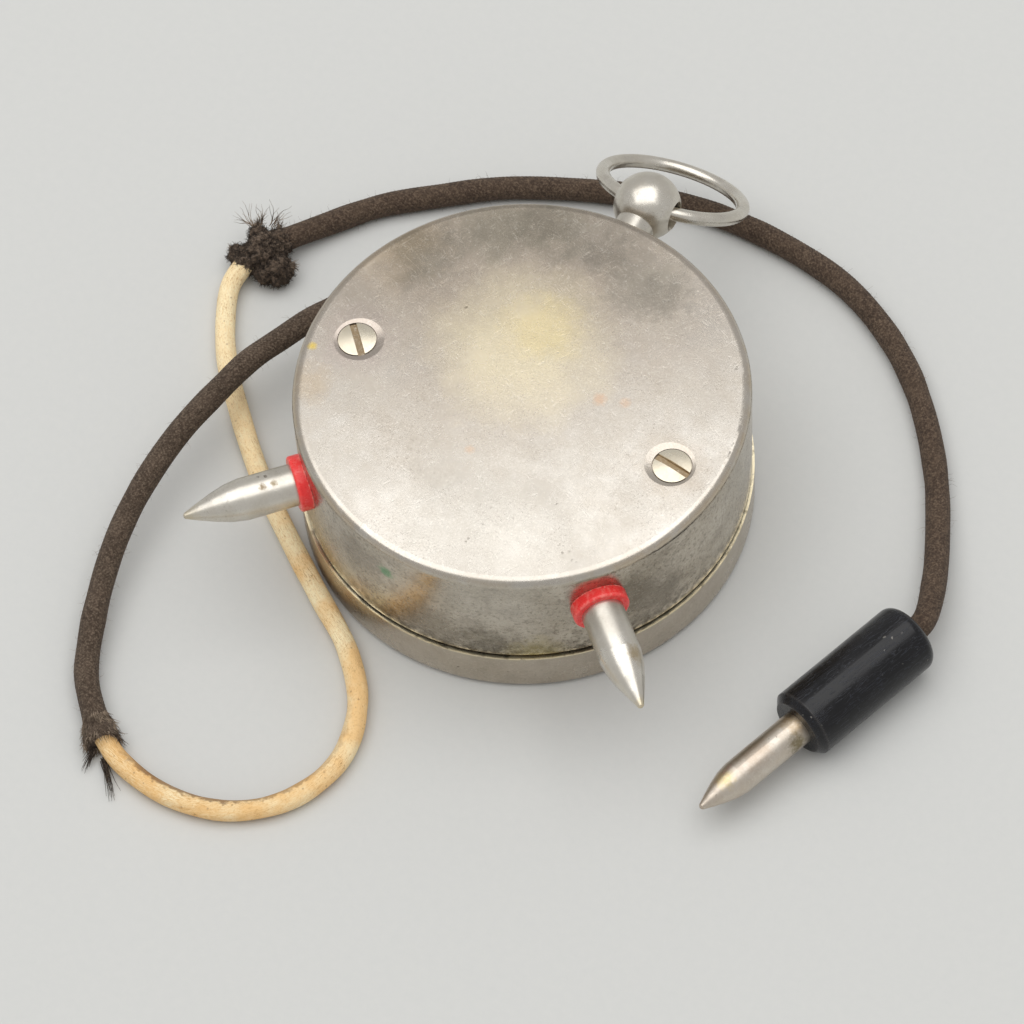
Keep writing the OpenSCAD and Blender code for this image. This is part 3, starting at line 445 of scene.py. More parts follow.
colour = blend(tree, near_fray, colour, (0.68, 0.37, 0.11))
# Painted shade: darker brown along one side of the cord, from near the fray into the loop.
edge_at = maths(tree, "ADD", beside, maths(tree, "MULTIPLY", grain(tree, place, 1300.0), 1.4))
one_side_shade = maths(tree, "MULTIPLY", remap(tree, edge_at, 0.46, 0.16),
    maths(tree, "MULTIPLY", remap(tree, run_at, 3.0, 8.0), remap(tree, run_at, 44.0, 18.0)))
colour = blend(tree, maths(tree, "MULTIPLY", one_side_shade, 0.75), colour, (0.18, 0.085, 0.035))
cells = add(tree, "ShaderNodeTexVoronoi", {"Vector": place, "Scale": 900.0}).outputs[0]
speck = remap(tree, cells, 0.14, 0.08)
colour = blend(tree, maths(tree, "MULTIPLY", speck, 0.5), colour, (0.3, 0.17, 0.08))
connect(tree, shader, Base_Color=colour, Roughness=remap(tree, fine, 0.3, 0.7, 0.62, 0.85),
    Specular_IOR_Level=0.35, Normal=bump(tree, fine, 0.00006))
inner_cord = new_piece("inner_cord", bare_mesh, bare_material)
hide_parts("bare_cord")

# Knot
# The frayed end of the second length is bound over the bare cord with its own yarn,
# matted into one rough lump, with tufts of loose cotton that stand up from its far side.
knot_voxel = 0.11
lump_height = 0.42
yarn_height = 0.13
lobes = [((-42.4, 14.7, 2.8), 2.1), ((-39.9, 13.7, 2.1), 1.8), ((-45.2, 13.8, 1.8), 1.05),
    ((-41.2, 17.0, 2.5), 1.45), ((-43.5, 13.2, 2.3), 1.65), ((-41.0, 13.0, 1.8), 1.4),
    ((-43.7, 16.6, 3.2), 1.0), ((-41.5, 15.4, 2.3), 1.8)]
blob = bmesh.new()
for centre_at, size in lobes:
    bmesh.ops.create_icosphere(blob, subdivisions=3, radius=size * MM,
        matrix=Matrix.Translation(Vector(centre_at) * MM))
rough_mesh = bpy.data.meshes.new("knot_lobes")
blob.to_mesh(rough_mesh)
blob.free()
rough = bpy.data.objects.new("knot_lobes", rough_mesh)
bpy.context.scene.collection.objects.link(rough)
welded = rough.modifiers.new("weld", "REMESH")
welded.mode = "VOXEL"
welded.voxel_size = knot_voxel * MM
evaluated = rough.evaluated_get(bpy.context.evaluated_depsgraph_get())
knot_mesh = bpy.data.meshes.new_from_object(evaluated)
bpy.data.objects.remove(rough)
points = np.array([v.co[:] for v in knot_mesh.vertices]) / MM
normals = np.array([v.normal[:] for v in knot_mesh.vertices])
lump = np.array([noise.fractal(Vector(p) * 0.9, 0.8, 2.1, 3) for p in points])
yarn = 1 - 3.2 * np.abs([noise.noise(Vector(p) * 1.7 + Vector((7, 3, 1))) for p in points])
points += normals * (lump_height * lump + yarn_height * yarn)[:, None]
points[:, 2] = np.maximum(points[:, 2], 0.1)
knot_mesh.vertices.foreach_set("co", (points * MM).reshape(-1).astype(np.float32))
# The cotton material paints the yarn's grooves and the lump's dents darker, as shade.
for key, numbers in (("relief", np.clip(0.5 + 0.5 * yarn, 0, 1)), ("shade", np.clip(0.5 + lump, 0, 1))):
    stored = knot_mesh.attributes.new(key, "FLOAT", "POINT")
    stored.data.foreach_set("value", numbers.astype(np.float32))
knot_mesh.name = "knot"
knot_mesh.materials.clear()
knot_mesh.shade_smooth()
dark_cotton = braid_material("dark_cotton", (0.064, 0.045, 0.032), (0.155, 0.112, 0.08),
    (0.26, 0.195, 0.145))
knot = new_piece("knot", knot_mesh, dark_cotton)
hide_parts("splice_knot")
count = 3600
picks = random_source.integers(0, len(points), count)
heads = normals[picks] * 0.45 + random_source.normal(0, 0.6, (count, 3))
heads /= np.linalg.norm(heads, axis=1)[:, None]
lengths = random_source.uniform(0.25, 0.75, count)
nap_mesh = fibre_mesh("knot_nap", points[picks] - 0.05 * normals[picks], heads, lengths, width=0.055,
    curl=0.35, droop=0.0, steps=4)
knot_nap = new_piece("knot_nap", nap_mesh, dark_cotton)
stood = tufts([
    ((-44.0, 17.0, 3.6), (-0.6, 0.7, 0.3), 1.6, 90, 0.3),
    ((-44.6, 16.9, 3.8), (-0.9, 0.3, 0.25), 3.4, 12, 0.1),
    ((-44.0, 17.6, 3.8), (-0.3, 0.95, 0.3), 3.0, 14, 0.14),
    ((-42.8, 18.0, 3.6), (0.15, 0.95, 0.35), 3.4, 14, 0.16),
    ((-45.9, 14.0, 1.9), (-0.8, 0.3, 0.05), 1.0, 40, 0.4),
    ((-42.0, 18.2, 2.9), (-0.2, 0.9, 0.2), 1.7, 50, 0.4),
    ((-38.6, 14.6, 2.4), (0.9, 0.5, 0.1), 1.2, 40, 0.4)])
standing_mesh = fibre_mesh("knot_fluff", *stood, width=0.05, curl=0.2, droop=0.02)
knot_fluff = new_piece("knot_fluff", standing_mesh, thread_material)

# Floor and light
# A plain pale table, one broad soft light overhead towards the far side, and an even
# pale surround that fills the shadows.
floor_mesh = bpy.data.meshes.new("table")
sheet = bmesh.new()
table_half = 3
bmesh.ops.create_grid(sheet, x_segments=1, y_segments=1, size=table_half)
sheet.to_mesh(floor_mesh)
sheet.free()
table = bpy.data.objects.new("table", floor_mesh)
bpy.context.scene.collection.objects.link(table)
table_material, tree, shader, place = new_material("table_top")
connect(tree, shader, Base_Color=blend(tree, grain(tree, place, 900.0, 4.0, 0.7), (0.6, 0.605, 0.59),
    (0.64, 0.64, 0.62)), Roughness=0.8, Specular_IOR_Level=0.2)
floor_mesh.materials.append(table_material)
world = bpy.data.worlds.new("surround")
bpy.context.scene.world = world
world.use_nodes = True
world.node_tree.nodes["Background"].inputs["Color"].default_value = (1.0, 0.995, 0.985, 1)
world.node_tree.nodes["Background"].inputs["Strength"].default_value = 0.6
lamp_place = (-0.12, 0.085, 1.0)
light = bpy.data.lights.new("overhead", "AREA")
light.shape = "RECTANGLE"
light.size = 1.5
light.size_y = 1.1
light.energy = 7.7
lamp = bpy.data.objects.new("overhead", light)
lamp.matrix_world = turn @ Matrix.Translation(lamp_place)
bpy.context.scene.collection.objects.link(lamp)


# Drum
# A spun nickelled brass cup with a slightly crowned back. The plate is dull and
# scratched on the back, with painted shade over its far side and near edge, tarnished
# olive and pitted on the wall, and dirty at the seam.
def new_group(name, inputs):
    """Starts a shader group and returns its tree, the inputs by name and the mask's socket."""
    tree = bpy.data.node_groups.new(name, "ShaderNodeTree")
    for label, kind, value in inputs:
        socket = tree.interface.new_socket(label, in_out="INPUT", socket_type=kind)
        if value is not None:
            socket.default_value = value
    tree.interface.new_socket("Mask", in_out="OUTPUT", socket_type="NodeSocketFloat")
    start = tree.nodes.new("NodeGroupInput")
    end = tree.nodes.new("NodeGroupOutput")
    return tree, start.outputs, end.inputs["Mask"]


def use(tree, group, **values):
    """Uses a shader group; an underscore in a name stands for a space."""
    made = tree.nodes.new("ShaderNodeGroup")
    made.node_tree = group
    for name, value in values.items():
        socket = made.inputs[name.replace("_", " ")]
        if isinstance(value, bpy.types.NodeSocket):
            tree.links.new(value, socket)
        else:
            socket.default_value = value
    return made.outputs[0]


# Fine short scratches in one direction, kept to patches
scratches, given, mask = new_group("fine_scratches", [("Vector", "NodeSocketVector", None),
    ("Angle", "NodeSocketFloat", 0.0), ("Scale", "NodeSocketFloat", 900.0),
    ("Share", "NodeSocketFloat", 0.5)])
turned = add(scratches, "ShaderNodeVectorRotate", {"Vector": given["Vector"], "Axis": (0, 0, 1),
    "Angle": given["Angle"]}, rotation_type="AXIS_ANGLE").outputs[0]
drawn = add(scratches, "ShaderNodeVectorMath", {0: turned, 1: (0.13, 1.0, 1.0)},
    operation="MULTIPLY").outputs[0]
lines = grain(scratches, drawn, given["Scale"], 2.0, 0.6)
off_line = maths(scratches, "ABSOLUTE", maths(scratches, "SUBTRACT", lines, 0.5))
line = remap(scratches, off_line, 0.016, 0.002)
patchy = grain(scratches, turned, 700.0, 3.0)
kept = remap(scratches, maths(scratches, "ADD", patchy, given["Share"]), 0.98, 1.12)
scratches.links.new(maths(scratches, "MULTIPLY", line, kept), mask)

# Small round pits of uneven size, kept to patches
pits, given, mask = new_group("pits", [("Vector", "NodeSocketVector", None),
    ("Scale", "NodeSocketFloat", 900.0), ("Size", "NodeSocketFloat", 0.2),
    ("Share", "NodeSocketFloat", 0.5)])
random_way = add(pits, "ShaderNodeTexNoise", {"Vector": given["Vector"], "Scale": 1500.0}).outputs[1]
shake = add(pits, "ShaderNodeVectorMath", {0: random_way, "Scale": 0.0006}, operation="SCALE").outputs[0]
shaken = add(pits, "ShaderNodeVectorMath", {0: given["Vector"], 1: shake}, operation="ADD").outputs[0]
cells = add(pits, "ShaderNodeTexVoronoi", {"Vector": shaken, "Scale": given["Scale"]})
random_size = add(pits, "ShaderNodeSeparateColor", {0: cells.outputs[1]}).outputs[0]
size = maths(pits, "MULTIPLY", random_size, given["Size"])
dot = remap(pits, maths(pits, "SUBTRACT", cells.outputs[0], size), 0.03, -0.03)
patchy = grain(pits, given["Vector"], 210.0, 3.0)
kept = remap(pits, maths(pits, "ADD", patchy, given["Share"]), 0.95, 1.05)
pits.links.new(maths(pits, "MULTIPLY", dot, kept), mask)

# Soft clouds between two levels of a noise
clouds, given, mask = new_group("clouds", [("Vector", "NodeSocketVector", None),
    ("Scale", "NodeSocketFloat", 100.0), ("Low", "NodeSocketFloat", 0.4), ("High", "NodeSocketFloat", 0.6)])
clouds.links.new(remap(clouds, grain(clouds, given["Vector"], given["Scale"], 5.0, 0.6), given["Low"],
    given["High"]), mask)

# One patch with a ragged edge round a point, used for stains and for painted shade
stain_and_shade_patch, given, mask = new_group("stain_and_shade_patch", [("Vector", "NodeSocketVector", None),
    ("Centre", "NodeSocketVector", None), ("Radius", "NodeSocketFloat", 0.002),
    ("Ragged", "NodeSocketFloat", 0.5)])
reach = add(stain_and_shade_patch, "ShaderNodeVectorMath", {0: given["Vector"], 1: given["Centre"]},
    operation="DISTANCE").outputs[1]
blotch = grain(stain_and_shade_patch, given["Vector"], maths(stain_and_shade_patch, "DIVIDE", 2.0, given["Radius"]), 5.0, 0.65)
wobble = maths(stain_and_shade_patch, "MULTIPLY", maths(stain_and_shade_patch, "SUBTRACT", blotch, 0.5),
    maths(stain_and_shade_patch, "MULTIPLY", given["Ragged"], 2.0))
level = maths(stain_and_shade_patch, "ADD", maths(stain_and_shade_patch, "DIVIDE", reach, given["Radius"]), wobble)
stain_and_shade_patch.links.new(remap(stain_and_shade_patch, level, 1.0, 0.35), mask)


def nickel(name, bright, dull, tarnish, dirt, pitting, rough, marks=(), layers=()):
    """Worn nickel plate with clouds of dulling, fine scratches and pits.

    A mark is a stained spot, or a patch of painted shade, given as its centre, radius,
    raggedness, strength and tint. A layer is a tint between two heights, given as the
    heights where it starts and is full, the tint, its strength, and the scale and low
    level of its clouds. Lengths are in mm.
    """
    speck_tint = (0.22, 0.18, 0.13)
    rubbed_tint = (0.8, 0.76, 0.68)
    pit_tint = (0.1, 0.08, 0.055)
    scratch_tint = (0.86, 0.82, 0.75)
    scratch_sets = ((0.5, 1500.0, 0.5), (2.1, 1300.0, 0.47), (1.3, 1800.0, 0.48))
    cloud_width = 0.16
    material, tree, shader, place = new_material(name)
    dulled = use(tree, clouds, Vector=place, Scale=95.0, Low=0.38, High=0.66)
    mottled = use(tree, clouds, Vector=place, Scale=520.0, Low=0.35, High=0.7)
    grey = use(tree, clouds, Vector=place, Scale=230.0, Low=0.5, High=0.72)
    fine = grain(tree, place, 3800.0, 5.0, 0.7)
    marked = 0.0
    for angle, scale, share in scratch_sets:
        cut = use(tree, scratches, Vector=place, Angle=angle, Scale=scale, Share=share)
        marked = maths(tree, "MAXIMUM", marked, cut)
    pitted = use(tree, pits, Vector=place, Scale=1500.0, Size=0.3, Share=pitting)
    speckled = maths(tree, "MULTIPLY", remap(tree, fine, 0.56, 0.68),
        use(tree, clouds, Vector=place, Scale=170.0, Low=0.44, High=0.62))
    colour = blend(tree, maths(tree, "MULTIPLY", dulled, 0.7), bright, dull)
    colour = blend(tree, maths(tree, "MULTIPLY", mottled, 0.3), colour, tarnish)
    colour = blend(tree, maths(tree, "MULTIPLY", grey, 0.35), colour, dirt)
    height = add(tree, "ShaderNodeSeparateXYZ", {0: place}).outputs[2]
    for start, full, tint, strength, cloud, low in layers:
        share = maths(tree, "MULTIPLY", remap(tree, height, start * MM, full * MM), strength)
        if cloud:
            patches = use(tree, clouds, Vector=place, Scale=cloud, Low=low, High=low + cloud_width)
            share = maths(tree, "MULTIPLY", share, patches)
        colour = blend(tree, share, colour, tint)
    for centre_at, radius, ragged, strength, tint in marks:
        spot = use(tree, stain_and_shade_patch, Vector=place, Centre=tuple(c * MM for c in centre_at), Radius=radius * MM,
            Ragged=ragged)
        colour = blend(tree, maths(tree, "MULTIPLY", spot, strength), colour, tint)
    colour = blend(tree, maths(tree, "MULTIPLY", speckled, 0.35), colour, speck_tint)
    colour = blend(tree, remap(tree, fine, 0.45, 0.32, 0.0, 0.3), colour, rubbed_tint)
    colour = blend(tree, maths(tree, "MULTIPLY", pitted, 0.7), colour, pit_tint)
    colour = blend(tree, maths(tree, "MULTIPLY", marked, 0.18), colour, scratch_tint)
    rough_at = maths(tree, "ADD", maths(tree, "MULTIPLY", dulled, 0.08), rough)
    rough_at = maths(tree, "ADD", rough_at, maths(tree, "MULTIPLY", mottled, 0.05))
    dirty = maths(tree, "MAXIMUM", pitted, speckled)
    rough_at = maths(tree, "ADD", rough_at, maths(tree, "MULTIPLY", dirty, 0.2))
    lay = maths(tree, "SUBTRACT", maths(tree, "MULTIPLY", fine, 0.3), maths(tree, "MULTIPLY", marked, 0.25))
    lay = maths(tree, "SUBTRACT", lay, maths(tree, "MULTIPLY", pitted, 0.8))
    connect(tree, shader, Base_Color=colour, Metallic=1.0, Roughness=rough_at,
        Normal=bump(tree, lay, 0.00002, 0.7))
    return material


def dress(node, material):
    """Gives a CAD node its material."""
    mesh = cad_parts[node].data
    mesh.materials.clear()
    mesh.materials.append(material)


dress("case_body", nickel("drum_nickel", (0.59, 0.555, 0.505), (0.51, 0.47, 0.415), (0.49, 0.425, 0.34),
    (0.4, 0.36, 0.31), 0.3, 0.19, marks=[
        # The back: broad brown-tinted painted shade towards the far side, the yellow staining,
        # dark grime, and painted shade that dims the highlight on the near edge
        # Painted shade, tinted brown: a broad darkening towards the far side of the back.
        ((-12.1, 20.6, 21.5), 38, 0.3, 0.85, (0.42, 0.355, 0.285)),
        ((-2.4, 4.6, 21.7), 12, 0.4, 0.8, (0.7, 0.615, 0.44)),
        ((-1.3, 8.0, 21.7), 5.5, 0.6, 0.4, (0.76, 0.62, 0.3)),
        ((-18.4, 11.4, 21.5), 5.4, 0.9, 0.6, (0.24, 0.22, 0.18)),
        ((-12, 18.4, 21.5), 6.0, 0.9, 0.55, (0.25, 0.23, 0.18)),
        ((-5.7, 20.9, 21.5), 5.0, 0.9, 0.5, (0.25, 0.23, 0.18)),
        ((6.3, 18.2, 21.5), 5.5, 0.9, 0.5, (0.26, 0.24, 0.2)),
        ((0, 22, 21.5), 6.5, 0.8, 0.45, (0.28, 0.255, 0.22)),
        ((-8, 21, 21.5), 3.6, 1.8, 0.26, (0.18, 0.16, 0.13)),
        ((1, 20, 21.5), 3.2, 1.8, 0.26, (0.18, 0.16, 0.13)),
        ((9, 17.5, 21.5), 3.6, 1.8, 0.26, (0.18, 0.16, 0.13)),
        # Painted shade that dims the highlight on the near edge of the back.
        ((6, -20, 21.5), 15, 0.4, 0.5, (0.5, 0.47, 0.42)),
        # Edges of the back, halos round the screws, rust specks and a fleck of yellow
        ((-22, 12, 21.2), 8.0, 0.7, 0.25, (0.5, 0.36, 0.2)),
        ((-19.5, -2.0, 21.4), 5.6, 0.5, 0.6, (0.44, 0.37, 0.33)),
        ((19.5, -2.0, 21.4), 4.6, 0.5, 0.5, (0.44, 0.36, 0.28)),
        ((8.6, 2.2, 21.7), 1.0, 0.6, 0.5, (0.6, 0.38, 0.24)),
        ((11.3, 3.0, 21.7), 0.8, 0.6, 0.4, (0.6, 0.38, 0.24)),
        ((-1.4, -9.8, 21.7), 0.7, 0.6, 0.4, (0.6, 0.4, 0.26)),
        ((-23.6, -5.0, 21.4), 0.7, 0.4, 0.8, (0.75, 0.55, 0.1)),
        ((-22.0, -9.7, 21.4), 3.6, 0.6, 0.3, (0.5, 0.36, 0.2)),
        # Wall: a fleck of green, brown stains and dark grime
        ((-4.1, -25.2, 16.8), 1.2, 0.8, 0.9, (0.14, 0.32, 0.16)),
        ((-14, -21, 7.2), 3.5, 0.7, 0.5, (0.4, 0.33, 0.12)),
        ((12, -22, 7.2), 4.0, 0.7, 0.5, (0.4, 0.33, 0.12)),
        ((21.5, -13.7, 13), 7.0, 1.0, 0.7, (0.17, 0.14, 0.1)),
        ((7.6, -24.4, 8.7), 4.2, 1.5, 0.6, (0.12, 0.1, 0.07)),
        ((2, -25, 10), 5.0, 0.9, 0.5, (0.22, 0.185, 0.14)),
        ((-9, -24, 17), 4.0, 1.0, 0.5, (0.22, 0.185, 0.14)),
    ], layers=[
        # Brown rim, four tones of the wall, dirt above the seam, and the seam's gap
        (21.5, 21.1, (0.52, 0.4, 0.25), 0.5, 300.0, 0.4),
        (20.9, 20.4, (0.58, 0.52, 0.43), 1.0, 0, 0),
        (20.9, 20.4, (0.44, 0.385, 0.3), 0.8, 180.0, 0.42),
        (20.9, 20.4, (0.16, 0.13, 0.09), 0.75, 2400.0, 0.51),
        (20.9, 20.4, (0.24, 0.2, 0.15), 0.5, 420.0, 0.5),
        (9.8, 6.9, (0.09, 0.07, 0.045), 0.9, 1000.0, 0.42),
        (6.66, 6.58, (0.015, 0.012, 0.008), 1.0, 0, 0)]))

# Bezel
# The snap-on front ring, pressed from the same plated brass, browner from handling,
# with its upper edge rubbed through to the brass where it meets the seam.
dress("bezel", nickel("bezel_nickel", (0.58, 0.52, 0.44), (0.48, 0.42, 0.345), (0.44, 0.37, 0.28),
    (0.3, 0.26, 0.21), 0.36, 0.24, marks=[
        ((-20, -16, 5.8), 5.0, 0.7, 0.35, (0.42, 0.34, 0.2)),
        ((6, -25, 5.8), 6.0, 0.7, 0.2, (0.42, 0.35, 0.24))],
    layers=[
        (6.3, 0.0, (0.2, 0.17, 0.12), 0.5, 2400.0, 0.53),
        (5.95, 6.12, (0.12, 0.1, 0.05), 0.8, 0, 0),
        (5.88, 6.05, (0.94, 0.84, 0.6), 0.95, 600.0, 0.3)]))

# Case screws
# Two flush cheese-head screws hold the drum to the movement's pillars. Their heads are
# bright and a little yellow, with brown dirt in the slots.
dress("case_screws", nickel("screw_nickel", (0.76, 0.7, 0.58), (0.66, 0.59, 0.46), (0.55, 0.46, 0.32),
    (0.33, 0.28, 0.2), 0.36, 0.22, layers=[(21.44, 21.34, (0.2, 0.13, 0.06), 0.85, 0, 0)]))

# Prods
# Two turned and nickelled brass prods are bolted through the wall. Their points and
# flanks are worn, with dark pits on one and a brassy patch on the other.
for name, marks in (
    ("prod_left", [
        ((-21.2, -21.8, 17.7), 0.55, 1.0, 0.9, (0.2, 0.15, 0.09)),
        ((-20.3, -20.8, 17.7), 0.5, 1.0, 0.9, (0.22, 0.17, 0.1)),
        ((-28.0, -27.6, 15.3), 2.4, 0.8, 0.4, (0.6, 0.5, 0.3))]),
    ("prod_right", [
        ((25.3, -22.7, 17.2), 1.5, 0.9, 0.8, (0.42, 0.33, 0.2)),
        ((28.4, -27.6, 15.6), 1.2, 0.8, 0.5, (0.66, 0.52, 0.26))])):
    dress(name, nickel(name + "_nickel", (0.7, 0.67, 0.61), (0.58, 0.54, 0.47), (0.5, 0.45, 0.36),
        (0.36, 0.33, 0.28), 0.33, 0.25, marks=marks))

# Pendant and bow, and the hand prod's pin
# The turned pendant is bolted through the top of the wall. Its drilled ball carries
# the bow, a ring of nickelled wire that stays where it is put. The pin is nickelled too.
fitting_nickel = nickel("fitting_nickel", (0.7, 0.67, 0.61), (0.57, 0.53, 0.46), (0.48, 0.42, 0.33),
    (0.34, 0.31, 0.27), 0.3, 0.22)
dress("pendant", fitting_nickel)
dress("bow", fitting_nickel)
dress("probe_pin", nickel("pin_nickel", (0.66, 0.61, 0.54), (0.5, 0.42, 0.34), (0.48, 0.37, 0.26),
    (0.31, 0.26, 0.2), 0.4, 0.3, marks=[
        ((41.6, -17.2, 5.6), 2.0, 0.8, 0.7, (0.4, 0.28, 0.14)),
        ((35.6, -32.2, 4.1), 2.4, 0.8, 0.7, (0.4, 0.25, 0.14)),
        ((42.6, -19.2, 4.9), 1.5, 0.9, 0.85, (0.2, 0.16, 0.08)),
        ((39.5, -23.0, 5.9), 2.6, 0.9, 0.35, (0.4, 0.27, 0.17)),
        ((37.8, -27.0, 5.6), 1.3, 0.8, 0.6, (0.66, 0.52, 0.22))]))


# Collars
# Turned red fibre collars insulate the prods from the wall. They are bright and glossy,
# with pale pink patches that are a painted highlight, and pale edges that are partly
# edge wear and partly a painted highlight.
def edge_facing(tree, radius):
    """How far a surface faces its own way: one on a flat, less within the radius of an edge."""
    worn = add(tree, "ShaderNodeBevel", {"Radius": radius}, samples=4).outputs[0]
    sharp = add(tree, "ShaderNodeNewGeometry").outputs["Normal"]
    return add(tree, "ShaderNodeVectorMath", {0: worn, 1: sharp}, operation="DOT_PRODUCT").outputs[1]


def red_fibre(name):
    material, tree, shader, place = new_material(name)
    patch = use(tree, clouds, Vector=place, Scale=700.0, Low=0.4, High=0.65)
    fine = grain(tree, place, 6000.0, 4.0, 0.7)
    dust = use(tree, pits, Vector=place, Scale=1500.0, Size=0.25, Share=0.4)
    # Pale edges: partly edge wear, partly a painted highlight.
    edge = maths(tree, "MULTIPLY", remap(tree, edge_facing(tree, 0.0003), 0.995, 0.92),
        use(tree, clouds, Vector=place, Scale=1800.0, Low=0.42, High=0.6))
    colour = blend(tree, maths(tree, "MULTIPLY", patch, 0.5), (0.92, 0.035, 0.032), (0.75, 0.025, 0.028))
    # Pale pink patches: a painted highlight on the glossy fibre.
    painted_highlight_patches = use(tree, clouds, Vector=place, Scale=1500.0, Low=0.5, High=0.66)
    colour = blend(tree, maths(tree, "MULTIPLY", painted_highlight_patches, 0.45), colour, (0.95, 0.26, 0.22))
    colour = blend(tree, maths(tree, "MULTIPLY", dust, 0.5), colour, (0.92, 0.5, 0.42))
    colour = blend(tree, maths(tree, "MULTIPLY", edge, 0.85), colour, (0.95, 0.5, 0.42))
    connect(tree, shader, Base_Color=colour, Roughness=remap(tree, fine, 0.3, 0.7, 0.22, 0.4),
        Normal=bump(tree, fine, 0.00001))
    return material


dress("prod_collars", red_fibre("red_fibre"))
dress("prod_washers", red_fibre("red_fibre_inside"))


# Hand prod's handle and the lead's bush
# Both are turned from black ebonite, polished by handling, with fine scratches along
# the handle whose pale blue colour is a painted highlight, greyed edges and specks of dust.
def ebonite(name):
    material, tree, shader, place = new_material(name)
    edge = remap(tree, edge_facing(tree, 0.0005), 0.995, 0.93)
    cloud = use(tree, clouds, Vector=place, Scale=260.0, Low=0.4, High=0.7)
    marks = use(tree, scratches, Vector=place, Angle=-1.2, Scale=2300.0, Share=0.6)
    more = use(tree, scratches, Vector=place, Angle=-1.1, Scale=1500.0, Share=0.58)
    specks = use(tree, pits, Vector=place, Scale=1300.0, Size=0.2, Share=0.42)
    marks = maths(tree, "MAXIMUM", marks, more)
    black, grey = (0.002, 0.002, 0.003), (0.006, 0.0055, 0.0075)
    colour = blend(tree, maths(tree, "MULTIPLY", cloud, 0.6), black, grey)
    # The scratches' pale blue colour is a painted highlight; their roughness and bump are real.
    colour = blend(tree, maths(tree, "MULTIPLY", marks, 0.35), colour, (0.035, 0.04, 0.058))
    colour = blend(tree, maths(tree, "MULTIPLY", edge, 0.5), colour, (0.06, 0.055, 0.052))
    colour = blend(tree, maths(tree, "MULTIPLY", specks, 0.7), colour, (0.3, 0.28, 0.25))
    rough_at = maths(tree, "ADD", maths(tree, "MULTIPLY", cloud, 0.1), 0.17)
    rough_at = maths(tree, "ADD", rough_at, maths(tree, "MULTIPLY", marks, 0.2))
    lay = maths(tree, "SUBTRACT", maths(tree, "MULTIPLY", grain(tree, place, 2600.0), 0.2), marks)
    connect(tree, shader, Base_Color=colour, Roughness=rough_at, Specular_IOR_Level=0.38,
        Normal=bump(tree, lay, 0.00001, 0.6))
    return material


dress("probe_handle", ebonite("handle_ebonite"))
dress("lead_bush", ebonite("bush_ebonite"))

# Glass
# A flat disc of clear glass, laid in the bezel against its lip. It has faint marks
# from wiping.
glass_material, tree, shader, place = new_material("window_glass")
wipe = use(tree, scratches, Vector=place, Angle=0.8, Scale=700.0, Share=0.5)
connect(tree, shader, Base_Color=(0.96, 0.98, 0.97), Metallic=0.0, Transmission_Weight=1.0, IOR=1.5,
    Roughness=maths(tree, "ADD", maths(tree, "MULTIPLY", wipe, 0.15), 0.01))
dress("glass", glass_material)


# Dial
# A painted plate under the glass, with an arc of divisions and plain numbers printed in
# black, ten to one on the inner row. It reads with the pendant up, from the front.
def plain(name, first, second, scale, roughness, metal=0.0, spots=(0.1, 0.08, 0.06), share=0.3):
    """Ordinary finish in two shades, with specks and a fine grain."""
    material, tree, shader, place = new_material(name)
    cloud = use(tree, clouds, Vector=place, Scale=scale, Low=0.38, High=0.64)
    fine = grain(tree, place, 3500.0, 4.0, 0.65)
    specks = use(tree, pits, Vector=place, Scale=900.0, Size=0.22, Share=share)
    colour = blend(tree, cloud, first, second)
    colour = blend(tree, maths(tree, "MULTIPLY", specks, 0.6), colour, spots)
    connect(tree, shader, Base_Color=colour, Metallic=metal,
        Roughness=remap(tree, fine, 0.3, 0.7, roughness - 0.06, roughness + 0.08),
        Normal=bump(tree, fine, 0.00001, 0.6))
    return material


dress("dial_plate", plain("dial_enamel", (0.82, 0.78, 0.68), (0.74, 0.69, 0.57), 90.0, 0.45,
    spots=(0.4, 0.3, 0.18)))
dial_front = 5.78
ink_thickness = 0.02
scale_start = 45
scale_span = 90
scale_radius = 16.4
divisions = 48
arc_steps = 60
last_label = 6
ink = plain("dial_ink", (0.02, 0.02, 0.022), (0.035, 0.033, 0.03), 400.0, 0.5)
pivot = (0.0, -3.0)


def dial_point(angle, radius):
    return (pivot[0] + radius * math.cos(angle), pivot[1] + radius * math.sin(angle))


marks = bmesh.new()
for division in range(divisions + 1):
    angle = math.radians(scale_start + scale_span * division / divisions)
    whole = division % 8 == 0
    middle = division % 4 == 0
    outer = 18.6 if whole else 18.0 if middle else 17.4
    half = 0.13 if whole else 0.07
    way = (math.cos(angle), math.sin(angle))
    corners = []
    for radius, beside in ((scale_radius, -half), (outer, -half), (outer, half), (scale_radius, half)):
        x, y = dial_point(angle, radius)
        corner = ((x - beside * way[1]) * MM, (y + beside * way[0]) * MM, dial_front * MM)
        corners.append(marks.verts.new(corner))
    marks.faces.new(corners)
for radius, thick in ((scale_radius, 0.16), (16.0, 0.08)):
    rows = []
    for step_at in range(arc_steps + 1):
        angle = math.radians(scale_start + scale_span * step_at / arc_steps)
        rows.append([marks.verts.new((*(c * MM for c in dial_point(angle, r)), dial_front * MM))
            for r in (radius - thick / 2, radius + thick / 2)])
    for a, b in zip(rows, rows[1:]):
        marks.faces.new((a[0], a[1], b[1], b[0]))
bmesh.ops.solidify(marks, geom=marks.faces[:], thickness=ink_thickness * MM)
bmesh.ops.recalc_face_normals(marks, faces=marks.faces[:])
marks_mesh = bpy.data.meshes.new("dial_divisions")
marks.to_mesh(marks_mesh)
marks.free()
new_piece("dial_divisions", marks_mesh, ink)


